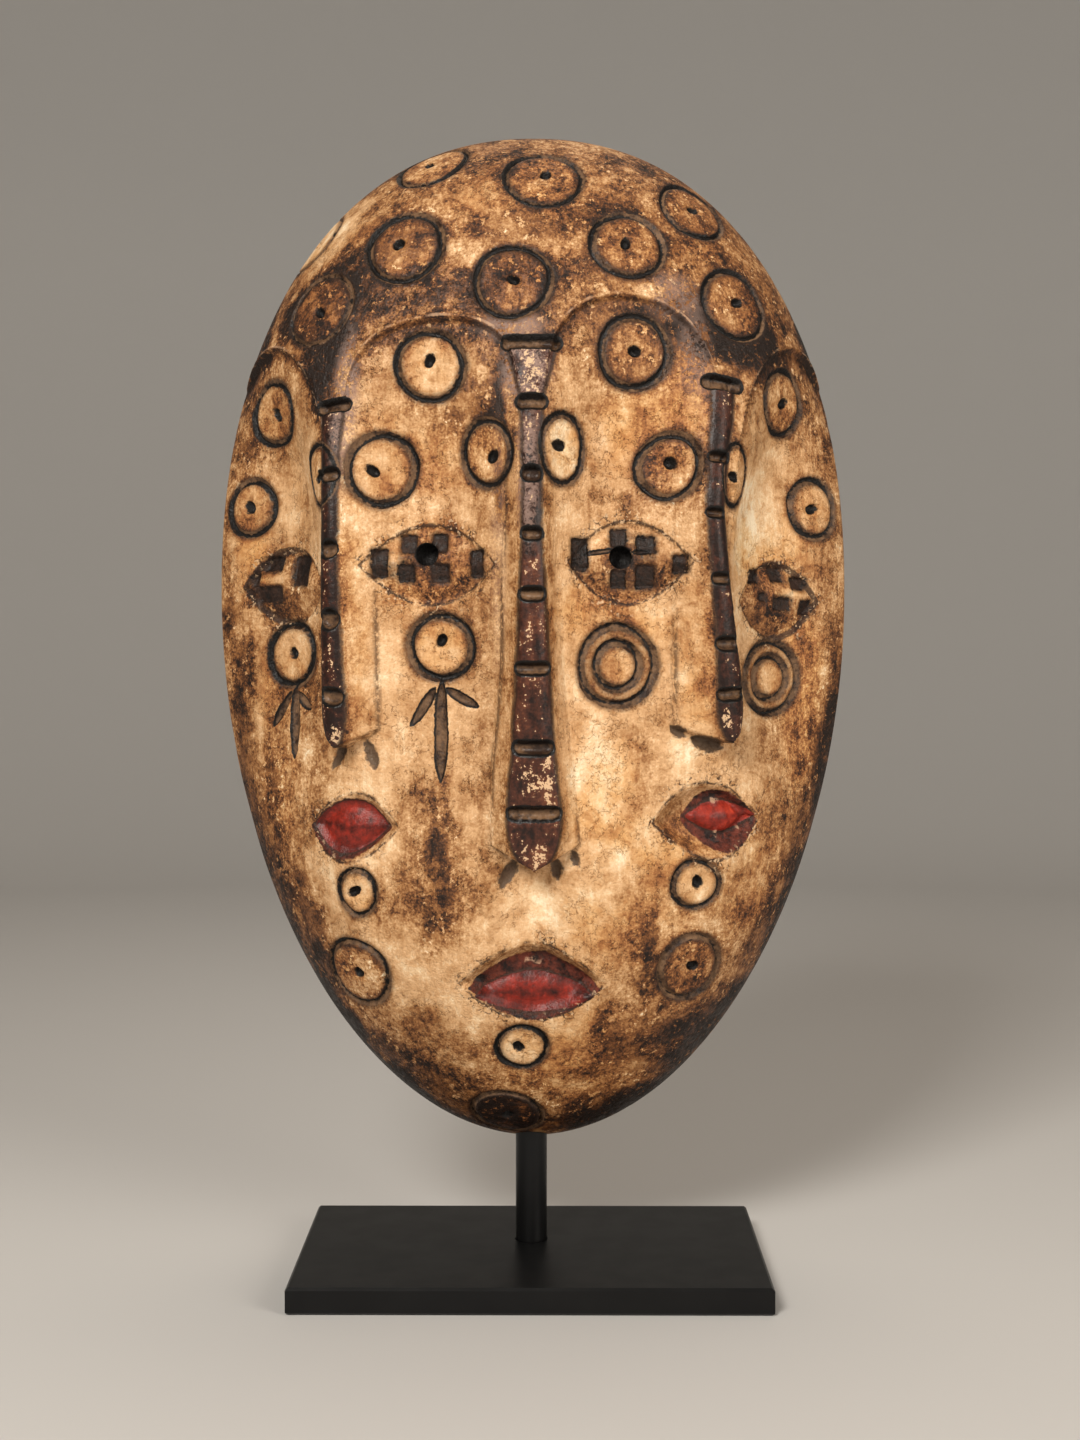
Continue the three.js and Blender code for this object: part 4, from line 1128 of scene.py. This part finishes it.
class Shader:
    """Builds a material's nodes by short calls, in coats of colour. Any input takes a socket, a number,
    or a colour's red, green and blue from 0 to 255."""

    def __init__(self, name, color=None):
        self.material = bpy.data.materials.new(name)
        self.material.use_nodes = True
        self.tree = self.material.node_tree
        self.surface = self.tree.nodes["Principled BSDF"]
        self.place = self.new("TexCoord").outputs["Object"]
        self.color = color

    def new(self, kind):
        return self.tree.nodes.new("ShaderNode" + kind)

    def put(self, socket, value):
        if isinstance(value, bpy.types.NodeSocket):
            self.tree.links.new(value, socket)
        else:
            socket.default_value = linear(*value) if isinstance(value, tuple) else value

    def fill(self, node, *values):
        """Puts values on a node's first inputs and returns its first output."""
        for socket, value in zip(node.inputs, values):
            self.put(socket, value)
        return node.outputs[0]

    def math(self, operation, *values):
        node = self.new("Math")
        node.operation = operation
        return self.fill(node, *values)

    def most(self, a, b):
        return self.math("MAXIMUM", a, b)

    def times(self, *values):
        total = values[0]
        for value in values[1:]:
            total = self.math("MULTIPLY", total, value)
        return total

    def add(self, *terms):
        """A sum of values, or of (value, weight) pairs."""
        total = 0.0
        for term in terms:
            value, weight = term if isinstance(term, tuple) else (term, 1.0)
            total = self.math("MULTIPLY_ADD", value, weight, total)
        return total

    def field(self, name):
        node = self.new("Attribute")
        node.attribute_name = name
        return node.outputs["Fac"]

    def fade(self, value, start, end, low=0.0, high=1.0):
        """low at start, high at end, and smooth between them."""
        node = self.new("MapRange")
        node.interpolation_type = "SMOOTHSTEP"
        return self.fill(node, value, start, end, low, high)

    def noise(self, size, detail=2.0, roughness=0.55, stretch=1.0, shift=0.0):
        """Noise about 0 whose lumps are about size millimetres, drawn out along the height."""
        mapping = self.new("Mapping")
        mapping.inputs["Location"].default_value = (shift, shift, shift)
        mapping.inputs["Scale"].default_value = (1, 1, 1 / stretch)
        self.put(mapping.inputs["Vector"], self.place)
        node = self.new("TexNoise")
        inputs = {"Vector": mapping.outputs[0], "Scale": 1 / (size * MM), "Detail": detail,
                  "Roughness": roughness}
        for key, value in inputs.items():
            self.put(node.inputs[key], value)
        return self.math("SUBTRACT", node.outputs["Fac"], 0.5)

    def net(self, size):
        """Distance to the borders of a net of cells, 0 on the borders."""
        node = self.new("TexVoronoi")
        node.feature = "DISTANCE_TO_EDGE"
        self.put(node.inputs["Vector"], self.place)
        self.put(node.inputs["Scale"], 1 / (size * MM))
        return node.outputs["Distance"]

    def line(self, value, width):
        """1 where the value passes through 0, as a thin line."""
        return self.fade(self.math("ABSOLUTE", value), width, 0.0)

    def ramp(self, value, stops):
        node = self.new("ValToRGB")
        elements = node.color_ramp.elements
        for place, color in stops[2:]:
            elements.new(place)
        for element, (place, color) in zip(elements, stops):
            element.position = place
            element.color = linear(*color)
        return self.fill(node, value)

    def mix(self, amount, first, second):
        node = self.new("Mix")
        node.data_type = "RGBA"
        self.put(node.inputs["Factor"], amount)
        self.put(node.inputs[6], first)
        self.put(node.inputs[7], second)
        return node.outputs[2]

    def coat(self, color, *amounts):
        """Lays a colour over those before it, as thickly as the product of the amounts."""
        self.color = self.mix(self.times(*amounts), self.color, color)

    def bump(self, height, distance):
        node = self.new("Bump")
        self.put(node.inputs["Distance"], distance * MM)
        self.put(node.inputs["Height"], height)
        return node.outputs[0]

    def finish(self, **sockets):
        names = {"roughness": "Roughness", "normal": "Normal", "specular": "Specular IOR Level"}
        self.put(self.surface.inputs["Base Color"], self.color)
        for key, value in sockets.items():
            self.put(self.surface.inputs[names[key]], value)
        return self.material


PATINA = [
    (0.0, (246, 226, 194)), (0.12, (233, 200, 158)), (0.26, (214, 170, 124)), (0.42, (187, 142, 96)),
    (0.58, (155, 107, 63)), (0.72, (119, 75, 41)), (0.86, (74, 44, 24)), (1.0, (30, 18, 11)),
]
GOLDEN = [
    (0.0, (244, 216, 168)), (0.26, (219, 168, 108)), (0.42, (191, 135, 79)), (0.58, (157, 101, 56)),
    (0.72, (118, 71, 38)), (0.86, (74, 43, 24)), (1.0, (30, 18, 12)),
]
STRIP = [(0.05, (32, 18, 14)), (0.4, (74, 40, 28)), (0.75, (116, 68, 46)), (1.0, (150, 104, 74))]
LIPS = [(0.0, (36, 12, 9)), (0.35, (99, 29, 20)), (0.65, (144, 41, 28)), (1.0, (192, 65, 43))]
GUM = [(0.2, (28, 12, 9)), (0.8, (106, 48, 33))]
CUT = [(0.1, (20, 13, 9)), (0.9, (54, 35, 25))]
BARE = [(0.2, (74, 48, 30)), (0.8, (150, 108, 70))]
STEEL = [(0.2, (9, 9, 10)), (0.8, (15, 15, 15))]
# Black for painted shadow, with some soot, in the deepest cuts and in the holes
SHADOW_AND_SOOT_BLACK = (17, 13, 11)
# Dark brown for dirt and crackle, and for painted shade in creases and under edges
DIRT_AND_SHADE_BROWN = (48, 32, 23)
SLOPES = [(0.1, DIRT_AND_SHADE_BROWN), (0.9, (122, 92, 66))]
GREY_BROWN = (112, 94, 78)
MAUVE = (150, 124, 112)
# Pale for worn paint and flakes, and for painted glints on the strips
WORN_PAINT_AND_GLINT = (226, 190, 150)
TOOTH = (190, 150, 122)
# Pale for the arches' lips: worn paint and painted highlight
SEAM_WEAR_AND_HIGHLIGHT = (206, 166, 132)
PALE_FLOOR = (205, 203, 200)
GLOSSY = 0.4


def mask_material():
    s = Shader("carved_paint")
    patch = s.noise(26, 2)
    blotch = s.noise(8, 4, 0.6)
    streak = s.noise(4.5, 2, 0.6, stretch=7)
    speck = s.noise(1.7, 2, 0.65)
    fine = s.noise(0.75, 1, 0.6, shift=0.3)
    grain = s.noise(1.0, 2, 0.6, stretch=9)

    def edge(name, amount):
        """A distance whose zero line is made ragged."""
        return s.add(s.field(name), (speck, amount), (blotch, 0.6 * amount))

    # Clay paint worn down to golden and brown wood, with paint left on the darker wood, and cracks
    tone = s.field("tone")
    large = s.times(s.add((patch, 0.85), (blotch, 0.9), (streak, 0.5)), s.fade(tone, 0.2, 0.6, 0.6, 1.1))
    small = s.times(s.add((speck, 0.8), (fine, 0.6), (grain, 0.3)), s.fade(tone, 0.25, 0.65, 0.35, 1.0))
    calm = s.fade(tone, 0.6, 0.85, 1.0, 0.6)
    worked = s.add(tone, s.times(large, calm), s.times(small, calm))
    left_over = s.fade(s.add(s.noise(10, 6, 0.72, shift=0.7), (tone, -0.05)), -0.01, 0.03)
    chips = s.times(s.fade(s.noise(2.6, 3, 0.7, shift=0.2), 0.08, 0.12), s.fade(blotch, -0.04, 0.04))
    on_dark = s.fade(tone, 0.42, 0.72)
    flaking = s.add((s.times(left_over, on_dark), -0.18), (s.times(chips, on_dark), -0.42))
    crack = s.times(s.line(s.noise(9, 5, 0.7, shift=0.4), 0.008), s.fade(patch, -0.06, 0.04), 0.34)
    tide = s.times(s.line(s.noise(34, 3, 0.6, shift=0.2), 0.02), s.fade(blotch, -0.1, 0.05), 0.12)
    worked = s.add(worked, flaking, crack, tide)
    golden = s.fade(s.add(s.field("gold"), (patch, 1.2), (blotch, 1.0)), 0.1, 0.8)
    s.color = s.mix(golden, s.ramp(worked, PATINA), s.ramp(worked, GOLDEN))
    mauve = s.times(s.field("mauve"), s.fade(s.add(blotch, (speck, 0.8), (fine, 0.6)), -0.15, 0.06))
    s.coat(MAUVE, mauve, 0.85)

    # The raised line along each arch, pale as worn paint and painted highlight, with painted shadow below
    # it, and lines of painted shadow along the edges and under the bottoms of the noses' wings
    arch = edge("arch", 1.0)
    s.coat(SEAM_WEAR_AND_HIGHLIGHT, s.fade(arch, -1.7, -1.1), s.fade(arch, 0.0, -0.4), s.fade(blotch, -0.05, 0.15), 0.55)
    s.coat(DIRT_AND_SHADE_BROWN, s.fade(arch, -0.3, 0.5), s.fade(arch, 3.0, 0.6), s.fade(blotch, -0.08, 0.14), 0.6)
    s.coat(DIRT_AND_SHADE_BROWN, s.fade(edge("crease", 2.2), 1.7, 0.2), s.fade(s.add(speck, streak), -0.15, 0.15), 0.7)

    # Borders of the eyes, and red lips with teeth beside them
    eye = edge("eye", 2.2)
    wider = s.field("border")
    border = s.times(s.fade(eye, s.add(-1.2, (wider, -1)), s.add(-0.2, (wider, -1))), s.fade(eye, 0.9, 0.1),
                     s.fade(s.add(speck, blotch, (wider, 0.1)), -0.2, 0))
    mouth = edge("mouth", 1.8)
    rim = s.times(s.fade(mouth, -0.9, -0.1), s.fade(mouth, 0.8, 0.1), s.fade(blotch, -0.1, 0.06))
    s.coat(DIRT_AND_SHADE_BROWN, s.most(border, rim), 0.85)
    on_gum = s.fade(edge("gum", 2.4), 0.3, -0.4)
    s.coat(s.ramp(s.add(0.5, (blotch, 2.6), (speck, 1.2)), GUM), on_gum)
    lips = edge("lips", 1.4)
    s.coat(DIRT_AND_SHADE_BROWN, s.fade(lips, 1.4, 0.3), on_gum, 0.75)
    shine = s.fade(lips, -0.3, -4)
    red = s.add(s.field("red"), (blotch, 1.3), (streak, 0.8), (speck, 0.7), (shine, 0.16), -0.08)
    on_lips = s.fade(lips, 0.1, -0.3)
    s.coat(s.ramp(red, LIPS), on_lips)
    s.coat(TOOTH, s.fade(edge("tooth", 1.0), 0.2, -0.3), s.fade(speck, -0.15, 0.05), 0.8)

    # Nose strips: dark red varnish, worn through in places, with pale flecks that are worn paint and
    # painted glints
    strip = edge("strip", 1.6)
    varnish = s.ramp(s.add(s.field("red"), (blotch, 1.6), (streak, 1.0), (speck, 0.9)), STRIP)
    varnish = s.mix(s.times(mauve, 0.9), varnish, MAUVE)
    worn = (s.field("worn"), 0.2)
    # Pale flecks on the varnish: worn paint, and painted glints
    flecks_and_glints = s.fade(s.add(speck, (fine, 0.6), (streak, 0.8), (blotch, 0.8), worn), 0.22, 0.27)
    varnish = s.mix(s.times(flecks_and_glints, 0.85), varnish, WORN_PAINT_AND_GLINT)
    on_strip = s.fade(strip, 0.25, -0.25)
    s.coat(varnish, on_strip)
    s.coat(DIRT_AND_SHADE_BROWN, s.fade(strip, 1.3, 0.3), s.fade(strip, -1.1, -0.2), 0.8)

    # Cuts: darker round the rings' grooves, black as painted shadow with some soot where they are deepest,
    # along the notches' and the strokes' edges, under the notches' tops and in the dots and pupils, and
    # brown on their slopes
    s.coat(DIRT_AND_SHADE_BROWN, s.fade(edge("ring", 1.6), 1.7, 0.0, 0, 0.55))
    slopes = s.fade(edge("ring", 1.2), 0.15, -0.2)
    deep = s.fade(edge("core", 1.6), 0.3, -0.2)
    for name, rim in (("notch", -0.9), ("stroke", -0.5)):
        gap = edge(name, 1.0)
        slopes = s.most(slopes, s.fade(gap, 0.15, -0.15))
        deep = s.most(deep, s.times(s.fade(gap, 0.3, 0), s.fade(gap, rim - 0.4, rim + 0.2)))
    # Painted shadow under each notch's upper edge
    shadow_under_notch_top = s.times(s.fade(edge("notch", 0.8), 0.1, -0.2), s.fade(edge("brow", 0.5), 0.15, 0.5))
    deep = s.most(s.most(deep, shadow_under_notch_top), s.fade(edge("dot", 1.2), 0.2, -0.3))
    s.coat(s.ramp(s.add(0.5, (blotch, 2.8), (speck, 1.4)), SLOPES), slopes)
    s.coat(s.mix(0.22, DIRT_AND_SHADE_BROWN, GREY_BROWN), s.fade(edge("nostril", 2.8), 0.5, -0.6, 0, 0.9))
    cut = edge("cut", 2.2)
    # Painted shadow along the edges of the square cuts
    s.coat(DIRT_AND_SHADE_BROWN, s.fade(cut, 1.3, 0.1, 0, 0.55))
    s.coat(s.ramp(s.add(0.5, (blotch, 2.0), (speck, 1.6), (fine, 0.8)), CUT), s.fade(cut, 0.2, -0.3))
    # The black of painted shadow, with some soot, laid over all these places
    s.coat(SHADOW_AND_SOOT_BLACK, deep)

    # Crackle and flaking round the eyes and the mouths
    near = s.math("MINIMUM", s.field("eye"), s.field("mouth"))
    band = s.times(s.fade(near, 7, 1.5), s.fade(near, -2.5, 0.0), s.fade(blotch, -0.04, 0.06))
    crackle = s.times(s.fade(s.add(s.net(2.8), (speck, 0.5)), 0.09, 0.04), s.fade(fine, -0.1, 0.05), band)
    s.coat(DIRT_AND_SHADE_BROWN, crackle, 0.85)
    flakes = s.times(s.fade(s.noise(1.6, 1, 0.6, shift=0.9), 0.1, 0.14), band, 0.7)
    s.coat(WORN_PAINT_AND_GLINT, flakes)

    # The wood of the hollow
    wood = s.add(0.55, (s.noise(5, 3, 0.6, stretch=9), 1.1), (grain, 1.0), (patch, 1.0))
    s.coat(s.ramp(wood, BARE), s.fade(s.field("bare"), 0.4, 0.6))

    relief = s.add((grain, 0.5), (speck, 0.8), (fine, 0.4), (crackle, -0.4), (flakes, 0.3), (chips, 0.2),
                   (left_over, 0.15), (crack, -1))
    glossy = s.most(s.times(on_strip, s.fade(mauve, 0, 0.5, 1, 0)), on_lips)
    normal = s.bump(s.times(relief, s.fade(glossy, 0, 1, 1, 0.35)), 0.5)
    dull = s.fade(s.add(blotch, speck), -0.2, 0.2, 0.45, 0.66)
    roughness = s.add(dull, (glossy, s.add(GLOSSY, (dull, -1))))
    return s.finish(roughness=roughness, normal=normal, specular=0.3)


def steel_material():
    s = Shader("satin_black")
    s.color = s.ramp(s.add(0.5, (s.noise(18, 3), 1.5)), STEEL)
    roughness = s.fade(s.noise(12, 3), -0.2, 0.2, 0.37, 0.41)
    return s.finish(roughness=roughness, normal=s.bump(s.noise(0.35, 2), 0.02), specular=0.25)


def dress(piece, material):
    piece.data.materials.clear()
    piece.data.materials.append(material)


mask = mask_piece()
dress(mask, mask_material())
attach(mask, "root")
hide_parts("mask")

steel = steel_material()
rod = rod_piece()
dress(rod, steel)
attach(rod, "root")
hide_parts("rod")
dress(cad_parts["base_plate"], steel)

# Studio: a floor in millimetres, lights in metres as (place, width and height, watts, colour), and a
# camera at the photograph's viewing angle, turned in degrees
FLOOR = {"y": -600, "flat": 1800, "bend": 800, "wall": 1700, "sides": 120}
LIGHTS = {
    "key": ((-0.42, -1.05, 0.95), (0.4, 0.4), 17, (1, 0.95, 0.88)),
    "fill": ((0.95, -0.9, 0.6), (0.66, 0.66), 9, (1, 0.93, 0.84)),
    "top": ((0.1, 0.4, 1.4), (0.8, 0.6), 3.4, (1, 0.84, 0.68)),
}
MIDDLE = (0, 0, 0.25)
ROOM = {"Color": (0.86, 0.8, 0.73, 1), "Strength": 0.16}
CAMERA = {"place": (0.0068, -0.71054, 0.23957), "down": 2.313, "turn": 0.276, "lens": 46.94, "sensor": 36}


def studio_floor():
    """A round floor that bends up into a low wall, so that it is plain from every side."""
    bend = np.linspace(0, QUARTER, 16)
    radii = FLOOR["flat"] + FLOOR["bend"] * np.sin(bend)
    heights = FLOOR["bend"] * (1 - np.cos(bend))
    profile = [(0.99 * FLOOR["flat"], 0), *zip(radii, heights), (radii[-1], FLOOR["wall"])]
    floor = turned_piece("studio_floor", FLOOR["y"], profile[::-1], FLOOR["sides"], caps=(False, True))
    dress(floor, Shader("pale_floor", PALE_FLOOR).finish(roughness=0.7))
    return floor


def soft_light(name, place, size, watts, color):
    data = bpy.data.lights.new(name, "AREA")
    data.shape = "RECTANGLE"
    data.size, data.size_y = size
    data.energy = watts
    data.color = color
    lamp = add_to_scene(name, data)
    lamp.location = place
    lamp.rotation_euler = (Vector(MIDDLE) - Vector(place)).to_track_quat("-Z", "Y").to_euler()


studio_floor()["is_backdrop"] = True
for name, light in LIGHTS.items():
    soft_light(name, *light)

world = bpy.data.worlds.new("studio")
world.use_nodes = True
for key, value in ROOM.items():
    world.node_tree.nodes["Background"].inputs[key].default_value = value
bpy.context.scene.world = world
bpy.context.scene.view_settings.view_transform = "Standard"

camera = add_to_scene("camera", bpy.data.cameras.new("camera"))
camera.data.lens = CAMERA["lens"]
camera.data.sensor_width = CAMERA["sensor"]
camera.location = CAMERA["place"]
camera.rotation_euler = (math.radians(90 - CAMERA["down"]), 0, math.radians(CAMERA["turn"]))
bpy.context.scene.camera = camera

boxes = {"cad": cad_box, "visual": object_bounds()}
{name: [list(corner) for corner in box] for name, box in boxes.items()}
